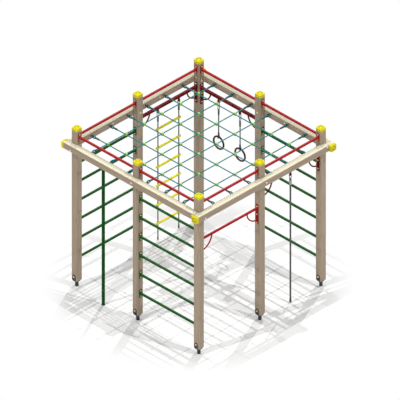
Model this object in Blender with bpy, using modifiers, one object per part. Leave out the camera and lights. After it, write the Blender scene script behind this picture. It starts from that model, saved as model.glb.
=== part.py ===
"""Play gym: a square timber frame on eight posts, with beams laid round it like a pinwheel.

It carries red guard rails, green wall bars, a rope net as its roof, a rope ladder, two gymnastic
rings, a climbing rope, a pull-up bar and a sliding pole. Metres, +Z up. The origin is on the
ground in the middle of the frame; the front side is at -Y, the right side at +X.
"""
import math

import bmesh
import bpy
from mathutils import Matrix, Vector

# Frame of posts and beams
POST_SPACING = 1.140      # centre to centre of neighbouring posts; two spacings make a side
POST_WIDTH = 0.100
POST_LENGTH = 2.400
POST_EDGE = 0.010         # radius of the posts' long edges
LEG_HEIGHT = 0.100        # ground to the posts' undersides
BEAM_WIDTH = 0.100
BEAM_EDGE = 0.010
BEAM_DROP = 0.274         # posts' tops down to the beams' centre lines
BEAM_HOUSING = 0.025      # depth to which a beam is let into a post
BOLT_STAGGER = 0.026      # the two bolts in a corner post pass over each other by this, up and down

# Plastic caps on the posts and on the free ends of the beams
CAP_WIDTH = 0.104
CAP_HEIGHT = 0.042
CAP_SKIRT = 0.024         # how far a cap reaches down over the timber's end
CAP_EDGE = 0.012
CAP_RING = 0.060          # diameter of the round recess in a cap's face
CAP_RING_DEPTH = 0.003
CAP_STAND_OFF = 0.0005    # from the next beam's outer face to an end cap's skirt

# Clearances
SEAT_GAP = 0.0003         # between pieces that touch
WELD_BITE = 0.001         # how far pieces that are one solid run into each other
SHANK_FIT = 0.0005        # round a shank or a rope in its bore, on the radius
CHAIN_GAP = 0.001         # between rods and eyes that hang in each other
PIN_FIT = 0.001           # round a shackle's pin in its lug, on the radius

# Ground anchors: a saddle with two upright tabs, welded on a round leg
LEG_DIAMETER = 0.048
SADDLE_WIDTH = 0.060
SADDLE_PLATE = 0.005
SADDLE_SIDE = 0.008       # how far the tabs reach below the post's underside
SADDLE_KEEL = 0.028       # depth of the saddle under the post, at the leg
TAB_TOP = 0.190           # top of the tabs above the ground
ANCHOR_BOLT_Z = 0.160

# Bolts with domed plastic caps at both ends
BOLT_DIAMETER = 0.012
BOLT_CAP = 0.030
BOLT_CAP_TOP = 0.018
BOLT_CAP_RISE = 0.011

# Screws with small plastic caps, in every end plate and in the beams' inner faces
SCREW_CAP = 0.022
SCREW_CAP_TOP = 0.015
SCREW_CAP_RISE = 0.008
BEAM_SCREW_ALONG = 0.440  # from the middle of a side
BEAM_SCREW_RISE = 0.006   # above the beam's centre line
RAIL_BOLT = 0.008         # joins the guard rails' plates through the middle posts

# Rails and bars: tubes with a plate welded to each end
RAIL_DIAMETER = 0.037
RAIL_DROP = 0.120         # posts' tops down to the guard rails
PLATE_WIDTH = 0.048
PLATE_THICKNESS = 0.006
SHORT_PLATE = 0.120
SHORT_PLATE_SCREW = 0.040  # above and below the tube
WALL_BARS = 6
WALL_BAR_Z = 0.438        # lowest wall bar
WALL_BAR_HEADROOM = 0.288  # beams' centre lines down to the highest; puts the bars 0.300 apart
THICK_BAR = 0.052
LADDER_BAR_DROP = 0.119   # beams' centre lines down to each bar's
RING_BAR_DROP = 0.141
ROPE_BAR_DROP = 0.126
THICK_PLATE_UP = 0.072
THICK_PLATE_DOWN = 0.252
THICK_PLATE_SCREWS = (0.050, -0.082, -0.215)
THICK_GUSSET = 0.165      # radius of the quarter circle that a gusset rod follows
PULL_UP_DROP = 0.433
PULL_UP_PLATE_UP = 0.064
PULL_UP_PLATE_DOWN = 0.246
PULL_UP_SCREWS = (0.030, -0.093, -0.228)
PULL_UP_GUSSET = 0.185
GUSSET_ROD = 0.020

# Sliding pole
POLE_DIAMETER = 0.045
POLE_SOCKET = 0.035       # how far its top stands in the beam

# Hangers: a lug under the bar, a shackle whose pin turns in it, and links and eyes of rod
LUG_THICKNESS = 0.008
LUG_RADIUS = 0.018
LUG_DROP = 0.068          # bar's centre line to the pin
PIN_DIAMETER = 0.012
PIN_OVERHANG = 0.008      # pin's end beyond the middle of the shackle's leg
HANGER_ROD = 0.010
SHACKLE_HALF = 0.016      # middle of a shackle's leg from its own middle
SHACKLE_DROP = 0.070      # pin to the middle of the bow's rod
SHACKLE_TOP = 0.005       # leg's end above the pin
LINK_HALF = 0.014
LINK_LENGTH = 0.072       # between the middles of the link's two end rods
EYE_RADIUS = 0.014
EYE_SINK = 0.003          # how far an eye's rod is sunk in its ferrule, or fused with a link

# Gymnastic rings
RING_SPACING = 0.400
RING_RADIUS = 0.092       # to the middle of the ring's own tube
RING_TUBE = 0.026
RING_ROPE = 0.016
RING_FERRULE = 0.026
RING_FERRULE_TOP = 0.056
RING_FERRULE_LOW = 0.048
RING_ROPE_LENGTH = 0.290  # bare rope between its two ferrules
GRIP_EYE_FIT = 0.002      # round the ring's tube in the eye, on the radius

# Rope ladder
LADDER_HALF = 0.195       # rope from the ladder's middle
LADDER_ROPE = 0.016
LADDER_FERRULE = 0.026
LADDER_FERRULE_LENGTH = 0.060
LADDER_RUNGS = 6
LADDER_RUNG_Z = 0.270     # lowest rung
LADDER_HEADROOM = 0.337   # the ladder's bar down to the highest rung; rungs stand 0.300 apart
LADDER_RUNG = 0.034
LADDER_RUNG_OVERHANG = 0.030  # beyond the rope's middle
HANGING_END = 0.012       # height of the ropes' free ends over the ground
ROPE_STEP = 3.0           # points along a hanging rope, in rope diameters

# Climbing rope
CLIMB_ROPE = 0.026
CLIMB_FERRULE = 0.038
CLIMB_FERRULE_LENGTH = 0.070

# Roof net
NET_ROPES = 6             # each way
NET_PITCH = 0.339
NET_RISE = 0.018          # beams' centre lines up to the middle between the two layers
NET_ROPE = 0.016
NET_LAYER_GAP = 0.003     # between the ropes that cross, filled by the connector's web
NET_FERRULE = 0.026
NET_FERRULE_LENGTH = 0.056
NET_FERRULE_TAPER = 0.008
CONNECTOR_WIDTH = 0.044
CONNECTOR_WALL = 0.005    # over and under the ropes
NET_EYE_HOLE = 0.009      # radius of the holes in the eye plates, measured to a corner
NET_EYE_WEB = 0.006
NET_EYE_PLATE = 0.008     # thickness of eye plates and loops, less than the holes' radius
NET_EYE_OUT = 0.022       # beam's face to the middle of the eye
NET_EYE_FOOT = 0.022      # width of the eye plate where it meets the beam
NET_LOOP = 0.025          # half height of the loops at the ropes' ends, measured to a corner
NET_LOOP_HOLE = 0.0155
NET_LOOP_LENGTH = 0.085   # from a loop's far end to its tip in the ferrule
NET_LOOP_TIP = 0.012      # its height at the tip
NET_LOOP_HOLE_END = 0.045  # from the middle of a loop's bend to its hole's pointed end

# Facets
TUBE_SIDES = 10
RAIL_SIDES = 8
LEG_SIDES = 8
ROPE_SIDES = 6
BOLT_SIDES = 6
SCREW_SIDES = 5
EYE_SIDES = 8
RING_SIDES = 16
BEND_STEPS = 4            # in every half circle or gusset
EDGE_SEGMENTS = 2
CAP_EDGE_SEGMENTS = 1

# Heights and distances that follow
POST_TOP = LEG_HEIGHT + POST_LENGTH
BEAM_Z = POST_TOP - BEAM_DROP
RAIL_Z = POST_TOP - RAIL_DROP
WALL_BAR_PITCH = (BEAM_Z - WALL_BAR_HEADROOM - WALL_BAR_Z) / (WALL_BARS - 1)
LADDER_BAR_Z = BEAM_Z - LADDER_BAR_DROP
RING_BAR_Z = BEAM_Z - RING_BAR_DROP
ROPE_BAR_Z = BEAM_Z - ROPE_BAR_DROP
PULL_UP_Z = BEAM_Z - PULL_UP_DROP
LADDER_RUNG_PITCH = (LADDER_BAR_Z - LADDER_HEADROOM - LADDER_RUNG_Z) / (LADDER_RUNGS - 1)
NET_Z = BEAM_Z + NET_RISE
POLE_ALONG = -POST_SPACING / 2   # from the middle of the front side
BEAM_LINE = POST_SPACING + POST_WIDTH / 2 - BEAM_HOUSING + BEAM_WIDTH / 2
BEAM_INNER = BEAM_LINE - BEAM_WIDTH / 2
BEAM_OUTER = BEAM_LINE + BEAM_WIDTH / 2
BEAM_FREE_END = BEAM_OUTER + CAP_STAND_OFF + CAP_SKIRT
BEAM_BUTT_END = BEAM_INNER - SEAT_GAP
POST_INNER = POST_SPACING - POST_WIDTH / 2
NET_STEP = NET_ROPE + NET_LAYER_GAP
NET_LINES = [(number - (NET_ROPES - 1) / 2) * NET_PITCH for number in range(NET_ROPES)]
BAY = POST_SPACING - POST_WIDTH
QUARTER = math.pi / 2
WELD = 0.00001
FLAT = 0.001              # faces within this angle of each other count as one flat face

SIDES = ("front", "right", "back", "left")
FRONT, RIGHT, BACK, LEFT = range(4)
X_AXIS = Matrix.Rotation(QUARTER, 4, "Y")       # turns a piece made along Z to lie along X
Y_AXIS = Matrix.Rotation(-QUARTER, 4, "X")      # turns a piece made along Z to lie along Y

for old in list(bpy.data.objects):
    bpy.data.objects.remove(old)
PARTS = bpy.data.collections.new("play_gym")
bpy.context.scene.collection.children.link(PARTS)
CUTTERS = bpy.data.collections.new("cutters")
bpy.context.scene.collection.children.link(CUTTERS)


def make_material(name, colour, roughness, metallic=0.0):
    material = bpy.data.materials.new(name)
    material.use_nodes = True
    shader = material.node_tree.nodes["Principled BSDF"]
    shader.inputs["Base Color"].default_value = (*colour, 1.0)
    shader.inputs["Roughness"].default_value = roughness
    shader.inputs["Metallic"].default_value = metallic
    return material


TIMBER = make_material("laminated_timber", (0.40, 0.31, 0.22), 0.70)
RED = make_material("red_enamel", (0.42, 0.03, 0.03), 0.35)
DARK_RED = make_material("dark_red_enamel", (0.22, 0.02, 0.03), 0.40)
GREEN = make_material("green_enamel", (0.01, 0.10, 0.01), 0.35)
STEEL = make_material("dark_steel", (0.05, 0.07, 0.08), 0.45, 0.8)
NET_FIBRE = make_material("teal_rope", (0.10, 0.33, 0.36), 0.85)
DARK_ROPE = make_material("dark_rope", (0.02, 0.04, 0.05), 0.85)
RUNG_YELLOW = make_material("rung_plastic", (0.72, 0.62, 0.06), 0.45)
GREY_ROPE = make_material("grey_rope", (0.30, 0.30, 0.29), 0.90)
MAROON = make_material("maroon_grip", (0.06, 0.005, 0.006), 0.50)


def to_mesh(bm, name="piece"):
    """Weld the loose edges, turn every face outwards and give back a plain mesh."""
    bmesh.ops.remove_doubles(bm, verts=bm.verts, dist=WELD)
    bmesh.ops.recalc_face_normals(bm, faces=bm.faces)
    bmesh.ops.dissolve_limit(bm, angle_limit=FLAT, verts=bm.verts, edges=bm.edges)
    mesh = bpy.data.meshes.new(name)
    bm.to_mesh(mesh)
    bm.free()
    return mesh


def evaluated(obj):
    """The object's mesh with its curve bevel or modifiers applied; the object is removed."""
    graph = bpy.context.evaluated_depsgraph_get()
    mesh = bpy.data.meshes.new_from_object(obj.evaluated_get(graph))
    mesh.transform(obj.matrix_world)
    bpy.data.objects.remove(obj)
    bm = bmesh.new()
    bm.from_mesh(mesh)
    return to_mesh(bm)


def moved(mesh, matrix):
    copy = mesh.copy()
    copy.transform(matrix)
    return copy


def at(x=0.0, y=0.0, z=0.0):
    return Matrix.Translation((x, y, z))


def block(low, high, edge=0.0, along="Z"):
    """A box between two corners; edge rounds the four edges that run along one axis."""
    bm = bmesh.new()
    bmesh.ops.create_cube(bm, size=1.0)
    size = Vector(high) - Vector(low)
    middle = (Vector(high) + Vector(low)) / 2
    bmesh.ops.transform(bm, matrix=at(*middle) @ Matrix.Diagonal((*size, 1.0)), verts=bm.verts)
    if edge:
        axis = "XYZ".index(along)
        long_edges = [e for e in bm.edges
                      if abs(e.verts[0].co[axis] - e.verts[1].co[axis]) > size[axis] / 2]
        bmesh.ops.bevel(bm, geom=long_edges, offset=edge, segments=EDGE_SEGMENTS,
                        profile=0.5, affect="EDGES")
    return to_mesh(bm)


def rod(diameter, start, end, sides=TUBE_SIDES, turn=None, end_diameter=None):
    """A straight round bar from height start to height end along Z, then turned."""
    bm = bmesh.new()
    bmesh.ops.create_cone(bm, cap_ends=True, segments=sides, radius1=diameter / 2,
                          radius2=(end_diameter or diameter) / 2, depth=end - start)
    place = at(z=(start + end) / 2) @ Matrix.Rotation(-QUARTER, 4, "Z")
    if turn is not None:
        place = turn @ place
    bmesh.ops.transform(bm, matrix=place, verts=bm.verts)
    return to_mesh(bm)


def turned(profile, sides):
    """A profile of (radius, height) points, from the top down, turned round Z by a Screw."""
    mesh = bpy.data.meshes.new("profile")
    points = [(radius, 0, height) for radius, height in profile]
    mesh.from_pydata(points, [(i, i + 1) for i in range(len(points) - 1)], [])
    obj = bpy.data.objects.new("profile", mesh)
    CUTTERS.objects.link(obj)
    screw = obj.modifiers.new("turn", "SCREW")
    screw.steps = sides
    screw.render_steps = sides
    screw.use_merge_vertices = True
    screw.merge_threshold = WELD
    return evaluated(obj)


def tube(points, diameter, closed=False, resolution=1):
    """A bent rod along a chain of points, of six sides or, at resolution 2, of eight."""
    curve = bpy.data.curves.new("path", "CURVE")
    curve.dimensions = "3D"
    curve.bevel_depth = diameter / 2
    curve.bevel_resolution = resolution
    curve.use_fill_caps = not closed
    spline = curve.splines.new("POLY")
    spline.points.add(len(points) - 1)
    for point, place in zip(spline.points, points):
        point.co = (*place, 1.0)
    spline.use_cyclic_u = closed
    obj = bpy.data.objects.new("path", curve)
    CUTTERS.objects.link(obj)
    return evaluated(obj)


def flat_plate(outlines, thickness):
    """A plate in the XY plane: the first outline is its edge and the others are its holes."""
    curve = bpy.data.curves.new("outline", "CURVE")
    curve.dimensions = "2D"
    curve.fill_mode = "BOTH"
    curve.extrude = thickness / 2
    for outline in outlines:
        spline = curve.splines.new("POLY")
        spline.points.add(len(outline) - 1)
        for point, (x, y) in zip(spline.points, outline):
            point.co = (x, y, 0.0, 1.0)
        spline.use_cyclic_u = True
    obj = bpy.data.objects.new("outline", curve)
    CUTTERS.objects.link(obj)
    return evaluated(obj)


def arc(radius, start, end, steps, middle=(0.0, 0.0)):
    """Points on a circle from one angle to another, in degrees, both ends included."""
    angles = [math.radians(start + (end - start) * i / steps) for i in range(steps + 1)]
    return [(middle[0] + radius * math.cos(a), middle[1] + radius * math.sin(a)) for a in angles]


def circle(radius, sides, middle=(0.0, 0.0)):
    return arc(radius, 0.0, 360.0, sides, middle)[:-1]


def combined(base, others, operation):
    """A Boolean of a mesh with others, one after another, as a plain mesh."""
    obj = bpy.data.objects.new("base", base)
    CUTTERS.objects.link(obj)
    helpers = []
    for other in others:
        helper = bpy.data.objects.new("helper", other)
        helper.hide_render = True
        helper.display_type = "WIRE"
        CUTTERS.objects.link(helper)
        helpers.append(helper)
        modifier = obj.modifiers.new(operation.lower(), "BOOLEAN")
        modifier.operation = operation
        modifier.solver = "EXACT"
        modifier.object = helper
    bpy.context.view_layer.update()
    mesh = evaluated(obj)
    for helper in helpers:
        bpy.data.objects.remove(helper)
    return mesh


def carved(base, *cutters):
    return combined(base, cutters, "DIFFERENCE")


def united(base, *others):
    return combined(base, others, "UNION")


def gathered(pieces):
    """One mesh of several solids that stand apart, for use in a Boolean."""
    bm = bmesh.new()
    for piece in pieces:
        bm.from_mesh(piece)
    mesh = bpy.data.meshes.new("group")
    bm.to_mesh(mesh)
    bm.free()
    return mesh


def part(name, mesh, material, location=(0.0, 0.0, 0.0), turn=0.0):
    """Put a finished mesh in the gym as a named object."""
    if not mesh.materials:
        mesh.materials.append(material)
        mesh.shade_smooth()
        mesh.set_sharp_from_angle(angle=math.radians(50))
    obj = bpy.data.objects.new(name, mesh)
    obj.location = location
    obj.rotation_euler = (0.0, 0.0, turn)
    PARTS.objects.link(obj)
    return obj


def side_turn(side):
    """The frame repeats four times round Z; this turns the front side to another side."""
    return Matrix.Rotation(side * QUARTER, 4, "Z")


def on_side(side, along, out, z):
    """A point given along a side, out from the middle of the gym and above the ground."""
    return side_turn(side) @ Vector((along, -out, z))


def bay_middle(side, half, z):
    """The middle of the first (half -1) or second (half +1) bay of a side."""
    return on_side(side, half * POST_SPACING / 2, POST_SPACING, z)


def bore(diameter, length, turn, place=(0.0, 0.0, 0.0)):
    return rod(diameter, -length / 2, length / 2, BOLT_SIDES, at(*place) @ turn)


def cap_mesh():
    """A cap with a round recess in its face, the edge of its skirt at z = 0."""
    bm = bmesh.new()
    bmesh.ops.create_cube(bm, size=1.0)
    bmesh.ops.transform(bm, verts=bm.verts, matrix=at(z=CAP_HEIGHT / 2) @ Matrix.Diagonal(
        (CAP_WIDTH, CAP_WIDTH, CAP_HEIGHT, 1.0)))
    seen_edges = [e for e in bm.edges if max(v.co.z for v in e.verts) > CAP_HEIGHT / 2]
    bmesh.ops.bevel(bm, geom=seen_edges, offset=CAP_EDGE, segments=CAP_EDGE_SEGMENTS,
                    profile=0.5, affect="EDGES")
    recess = rod(CAP_RING, CAP_HEIGHT - CAP_RING_DEPTH, 2 * CAP_HEIGHT, EYE_SIDES)
    return carved(to_mesh(bm), recess)


def bolt_cap(face, direction=1):
    """A bolt's domed cap along Z, on a face at that height and looking up or down."""
    place = at(z=face) @ Matrix.Rotation(0.0 if direction > 0 else math.pi, 4, "X")
    return rod(BOLT_CAP, -WELD_BITE, BOLT_CAP_RISE, BOLT_SIDES, place, BOLT_CAP_TOP)


def screw_cap():
    """A screw's cap that stands along Z on the plane z = 0."""
    return rod(SCREW_CAP, -WELD_BITE, SCREW_CAP_RISE, SCREW_SIDES, None, SCREW_CAP_TOP)


def anchor_mesh():
    """A saddle with a tab on two faces of the post, its bolt's caps, and a leg to the ground."""
    half = SADDLE_WIDTH / 2
    outer = POST_WIDTH / 2 + SADDLE_PLATE
    keel = LEG_HEIGHT - SADDLE_KEEL
    side = LEG_HEIGHT - SADDLE_SIDE
    foot = LEG_DIAMETER / 2 + SADDLE_PLATE
    section = [(-outer, TAB_TOP), (outer, TAB_TOP), (outer, side), (foot, keel), (-foot, keel),
               (-outer, side)]
    saddle = moved(flat_plate([section], SADDLE_WIDTH),
                   Matrix.Rotation(QUARTER, 4, "Z") @ Matrix.Rotation(QUARTER, 4, "X"))
    wide = half + SADDLE_PLATE
    tab = [(-wide, 0.0), (wide, 0.0), (wide, LEG_HEIGHT)]
    tab += arc(half, 0.0, 180.0, BEND_STEPS, (0.0, TAB_TOP - half))
    tab += [(-wide, LEG_HEIGHT)]
    rounding = moved(flat_plate([tab], 2 * POST_WIDTH), Matrix.Rotation(QUARTER, 4, "X"))
    saddle = combined(saddle, [rounding], "INTERSECT")
    caps = [moved(bolt_cap(end * outer, end), at(z=ANCHOR_BOLT_Z) @ Y_AXIS) for end in (-1, 1)]
    leg = rod(LEG_DIAMETER, 0.0, (keel + LEG_HEIGHT) / 2, LEG_SIDES)
    return united(saddle, leg, *caps)


def build_posts():
    """Posts in the corners and in the middle of the sides, each with its cap and its anchor."""
    half = POST_WIDTH / 2
    notch_face = -(half - BEAM_HOUSING) + SEAT_GAP
    low = BEAM_Z - BEAM_WIDTH / 2 - SEAT_GAP
    high = BEAM_Z + BEAM_WIDTH / 2 + SEAT_GAP
    hole = BOLT_DIAMETER + 2 * SHANK_FIT
    rail_hole = RAIL_BOLT + 2 * SHANK_FIT
    reach = 2 * POST_WIDTH
    cap = moved(cap_mesh(), at(z=POST_TOP - CAP_SKIRT))
    anchor = anchor_mesh()
    notch = block((-reach, -reach, low), (reach, notch_face, high))
    corner = [(-reach, -reach), (reach, -reach), (reach, notch_face), (notch_face, notch_face),
              (notch_face, reach), (-reach, reach)]
    corner_cuts = [
        moved(flat_plate([corner], high - low), at(z=(high + low) / 2)),
        bore(hole, reach, Y_AXIS, (0, 0, BEAM_Z - BOLT_STAGGER)),
        bore(hole, reach, side_turn(1) @ Y_AXIS, (0, 0, BEAM_Z + BOLT_STAGGER)),
    ]
    middle_cuts = [
        notch,
        bore(hole, reach, Y_AXIS, (0, 0, BEAM_Z)),
        bore(rail_hole, reach, X_AXIS, (0, 0, RAIL_Z + SHORT_PLATE_SCREW)),
        bore(rail_hole, reach, X_AXIS, (0, 0, RAIL_Z - SHORT_PLATE_SCREW)),
    ]
    timber = block((-half, -half, LEG_HEIGHT), (half, half, POST_TOP), POST_EDGE)
    for along, cuts, names in (
        (-POST_SPACING, corner_cuts, ("front_left", "front_right", "back_right", "back_left")),
        (0.0, middle_cuts, [f"{side}_middle" for side in SIDES]),
    ):
        post = united(carved(timber, *cuts), cap)
        for first in (0, 1):
            mesh = united(post, moved(anchor, side_turn(first)))
            for side in (first, first + 2):
                part(f"post_{names[side]}", mesh, TIMBER,
                     on_side(side, along, POST_SPACING, 0.0), side * QUARTER)


def beam_bolt():
    """A bolt along Z, outer cap up, that holds a beam from its outer face to the post's inner."""
    outer = BEAM_OUTER - BEAM_LINE
    inner = BEAM_LINE - POST_INNER + SEAT_GAP
    profile = [(0.0, outer + BOLT_CAP_RISE), (BOLT_CAP_TOP / 2, outer + BOLT_CAP_RISE),
               (BOLT_CAP / 2, outer - WELD_BITE), (BOLT_DIAMETER / 2, outer - WELD_BITE),
               (BOLT_DIAMETER / 2, -inner), (BOLT_CAP / 2, -inner),
               (BOLT_CAP_TOP / 2, -inner - BOLT_CAP_RISE), (0.0, -inner - BOLT_CAP_RISE)]
    return turned(profile, BOLT_SIDES)


def net_eye_outline():
    """The eye plates' shape: an eye at the origin, and its foot on the beam towards +X."""
    outer = NET_EYE_HOLE + NET_EYE_WEB
    edge = arc(outer, 60.0, 300.0, BEND_STEPS)
    edge += [(NET_EYE_OUT + WELD_BITE, -NET_EYE_FOOT / 2),
             (NET_EYE_OUT + WELD_BITE, NET_EYE_FOOT / 2)]
    return [edge, arc(NET_EYE_HOLE, 30.0, 330.0, 5)]


def build_beams():
    """Each beam runs past one corner and butts against the next beam at the other.

    A beam's solid takes in its end cap, its three bolts and the eye plates that hold the net.
    """
    half = BEAM_WIDTH / 2
    beam = block((-BEAM_FREE_END, -half, -half), (BEAM_BUTT_END, half, half), BEAM_EDGE, "X")
    cap = moved(cap_mesh(), at(x=-BEAM_OUTER - CAP_STAND_OFF) @ Matrix.Rotation(-QUARTER, 4, "Y"))
    bolt = moved(beam_bolt(), Matrix.Rotation(QUARTER, 4, "X"))
    bolts = [moved(bolt, at(x=along, z=rise))
             for along, rise in ((-POST_SPACING, -BOLT_STAGGER), (0.0, 0.0),
                                 (POST_SPACING, BOLT_STAGGER))]
    screws = [moved(screw_cap(), at(along, half, BEAM_SCREW_RISE) @ Y_AXIS)
              for along in (-BEAM_SCREW_ALONG, BEAM_SCREW_ALONG)]
    beam = united(beam, cap, gathered(bolts + screws))
    eye = flat_plate(net_eye_outline(), NET_EYE_PLATE)
    eye = moved(eye, Matrix.Rotation(-QUARTER, 4, "Z"))
    socket = rod(POLE_DIAMETER + 2 * SHANK_FIT, -BEAM_WIDTH, -half + POLE_SOCKET + SEAT_GAP,
                 TUBE_SIDES, at(POLE_ALONG))
    for side, name in enumerate(SIDES):
        layer = NET_Z - BEAM_Z + (-NET_STEP / 2 if side in (RIGHT, LEFT) else NET_STEP / 2)
        eyes = [moved(eye, at(along, half + NET_EYE_OUT, layer)) for along in NET_LINES]
        mesh = united(beam, gathered(eyes))
        if side == FRONT:
            mesh = carved(mesh, socket)
        part(f"beam_{name}", mesh, TIMBER, on_side(side, 0.0, BEAM_LINE, BEAM_Z), side * QUARTER)


def lug_mesh():
    """A lug under a bar: a plate across the bar, with the hole for a shackle's pin."""
    edge = [(LUG_RADIUS, 0.0), (-LUG_RADIUS, 0.0)]
    edge += arc(LUG_RADIUS, 180.0, 360.0, BEND_STEPS, (0.0, -LUG_DROP))
    hole = circle(PIN_DIAMETER / 2 + PIN_FIT, BOLT_SIDES, (0.0, -LUG_DROP))
    return moved(flat_plate([edge, hole], LUG_THICKNESS),
                 Matrix.Rotation(QUARTER, 4, "Z") @ Matrix.Rotation(QUARTER, 4, "X"))


def bar_mesh(diameter, sides, low, high, rises, gusset=0.0, lugs=()):
    """A tube along X across one bay, with end plates, screw caps, gusset rods and lugs."""
    plate_face = BAY / 2 - SEAT_GAP
    inside = plate_face - PLATE_THICKNESS
    tube_end = plate_face - PLATE_THICKNESS / 2
    half = PLATE_WIDTH / 2
    plates = [block((inside, -half, low), (plate_face, half, high)),
              block((-plate_face, -half, low), (-inside, half, high))]
    caps = [moved(screw_cap(), at(end * inside, 0.0, rise) @ Matrix.Rotation(-end * QUARTER, 4, "Y"))
            for end in (-1, 1) for rise in rises]
    rods = []
    if gusset:
        bend = arc(gusset, 180.0, 270.0, BEND_STEPS, (inside, 0.0))
        bend.append((inside + PLATE_THICKNESS / 2, -gusset))
        rods = [tube([(end * x, 0.0, z) for x, z in bend], GUSSET_ROD) for end in (-1, 1)]
    welded = [moved(lug_mesh(), at(x=along)) for along in lugs]
    bar = united(rod(diameter, -tube_end, tube_end, sides, X_AXIS), gathered(plates))
    bar = united(bar, gathered(caps))
    return united(bar, gathered(rods + welded)) if rods else bar


def build_rails_and_bars():
    """Guard rails on every side, wall bars in three bays, and the red bars in the others."""
    short = SHORT_PLATE / 2
    short_rises = (SHORT_PLATE_SCREW, -SHORT_PLATE_SCREW)
    rail = bar_mesh(RAIL_DIAMETER, RAIL_SIDES, -short, short, short_rises)
    pair = gathered([moved(rail, at(x=half * POST_SPACING / 2)) for half in (-1, 1)])
    bolt_end = POST_WIDTH / 2 + PLATE_THICKNESS / 2
    bolts = [rod(RAIL_BOLT, -bolt_end, bolt_end, BOLT_SIDES, at(z=rise) @ X_AXIS)
             for rise in short_rises]
    guard_rails = united(pair, gathered(bolts))
    for side, name in enumerate(SIDES):
        part(f"guard_rails_{name}", guard_rails, RED, on_side(side, 0.0, POST_SPACING, RAIL_Z),
             side * QUARTER)

    for side, half in ((FRONT, 1), (BACK, -1), (LEFT, 1)):
        for number in range(WALL_BARS):
            z = WALL_BAR_Z + number * WALL_BAR_PITCH
            part(f"wall_bar_{SIDES[side]}_{number + 1}", rail, GREEN, bay_middle(side, half, z),
                 side * QUARTER)

    ring_lugs = (-RING_SPACING / 2, RING_SPACING / 2)
    ladder_lugs = (-LADDER_HALF, LADDER_HALF)
    for name, side, half, z, lugs in (
        ("ladder_bar", LEFT, -1, LADDER_BAR_Z, ladder_lugs),
        ("ring_bar", BACK, 1, RING_BAR_Z, ring_lugs),
        ("rope_bar", RIGHT, 1, ROPE_BAR_Z, (0.0,)),
    ):
        bar = bar_mesh(THICK_BAR, TUBE_SIDES, -THICK_PLATE_DOWN, THICK_PLATE_UP,
                       THICK_PLATE_SCREWS, THICK_GUSSET, lugs)
        part(name, bar, DARK_RED, bay_middle(side, half, z), side * QUARTER)
    pull_up = bar_mesh(RAIL_DIAMETER, RAIL_SIDES, -PULL_UP_PLATE_DOWN, PULL_UP_PLATE_UP,
                       PULL_UP_SCREWS, PULL_UP_GUSSET)
    part("pull_up_bar", pull_up, RED, bay_middle(RIGHT, -1, PULL_UP_Z), RIGHT * QUARTER)


def build_pole():
    top = BEAM_Z - BEAM_WIDTH / 2 + POLE_SOCKET
    part("sliding_pole", rod(POLE_DIAMETER, 0.0, top), GREEN,
         on_side(FRONT, POLE_ALONG, BEAM_LINE, 0.0))


def build_net():
    """Two layers of rope with long loops at their ends, and a connector at each crossing."""
    hole_flats = (NET_EYE_HOLE + NET_LOOP_HOLE) * math.cos(math.radians(30.0))
    loop_middle = BEAM_INNER - NET_EYE_OUT - hole_flats + CHAIN_GAP
    tip = NET_LOOP_LENGTH - NET_LOOP
    ferrule_end = loop_middle - tip + EYE_SINK
    rope_end = ferrule_end - NET_FERRULE_LENGTH
    profile = [(0.0, ferrule_end), (NET_FERRULE / 2, ferrule_end), (NET_FERRULE / 2, rope_end),
               (NET_ROPE / 2, rope_end - NET_FERRULE_TAPER)]
    profile += [(radius, -height) for radius, height in reversed(profile)]
    rope = moved(turned(profile, ROPE_SIDES), X_AXIS)
    edge = arc(NET_LOOP, -120.0, 120.0, 4) + [(-tip, NET_LOOP_TIP / 2), (-tip, -NET_LOOP_TIP / 2)]
    hole = arc(NET_LOOP_HOLE, -90.0, 90.0, 3) + [(-NET_LOOP_HOLE_END, 0.0)]
    loop = moved(flat_plate([edge, hole], NET_EYE_PLATE), Matrix.Rotation(QUARTER, 4, "X"))
    loops = [moved(loop, turn @ at(x=loop_middle)) for turn in (side_turn(0), side_turn(2))]
    rope = united(rope, gathered(loops))
    along_x = gathered([moved(rope, at(y=line, z=-NET_STEP / 2)) for line in NET_LINES])
    along_y = gathered([moved(rope, at(x=line, z=NET_STEP / 2) @ side_turn(1))
                        for line in NET_LINES])
    half = CONNECTOR_WIDTH / 2
    height = NET_STEP / 2 + NET_ROPE / 2 + CONNECTOR_WALL
    connector = block((-half, -half, -height), (half, half, height))
    connectors = gathered([moved(connector, at(x, y)) for x in NET_LINES for y in NET_LINES])
    part("roof_net", united(connectors, along_x, along_y), NET_FIBRE, (0.0, 0.0, NET_Z))


def shackle_mesh():
    """A shackle that hangs from the origin, its pin along X, in one piece with the pin."""
    bow = arc(SHACKLE_HALF, 180.0, 360.0, BEND_STEPS, (0.0, SHACKLE_HALF - SHACKLE_DROP))
    path = [(-SHACKLE_HALF, SHACKLE_TOP)] + bow + [(SHACKLE_HALF, SHACKLE_TOP)]
    pin_end = SHACKLE_HALF + PIN_OVERHANG
    pin = rod(PIN_DIAMETER, -pin_end, pin_end, BOLT_SIDES, X_AXIS)
    return united(pin, tube([(x, 0.0, z) for x, z in path], HANGER_ROD))


def link_mesh():
    """An oval link in the YZ plane, the middle of its top rod at the origin."""
    upper = arc(LINK_HALF, 0.0, 180.0, BEND_STEPS, (0.0, -LINK_HALF))
    lower = arc(LINK_HALF, 180.0, 360.0, BEND_STEPS, (0.0, LINK_HALF - LINK_LENGTH))
    return tube([(0.0, y, z) for y, z in upper + lower], HANGER_ROD, closed=True)


def eye_mesh(radius, plane, z):
    """A closed eye of rod round a point at that height, in the XZ or the YZ plane."""
    points = circle(radius, EYE_SIDES, (0.0, z))
    if plane == "XZ":
        return tube([(a, 0.0, b) for a, b in points], HANGER_ROD, closed=True)
    return tube([(0.0, a, b) for a, b in points], HANGER_ROD, closed=True)


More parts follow.
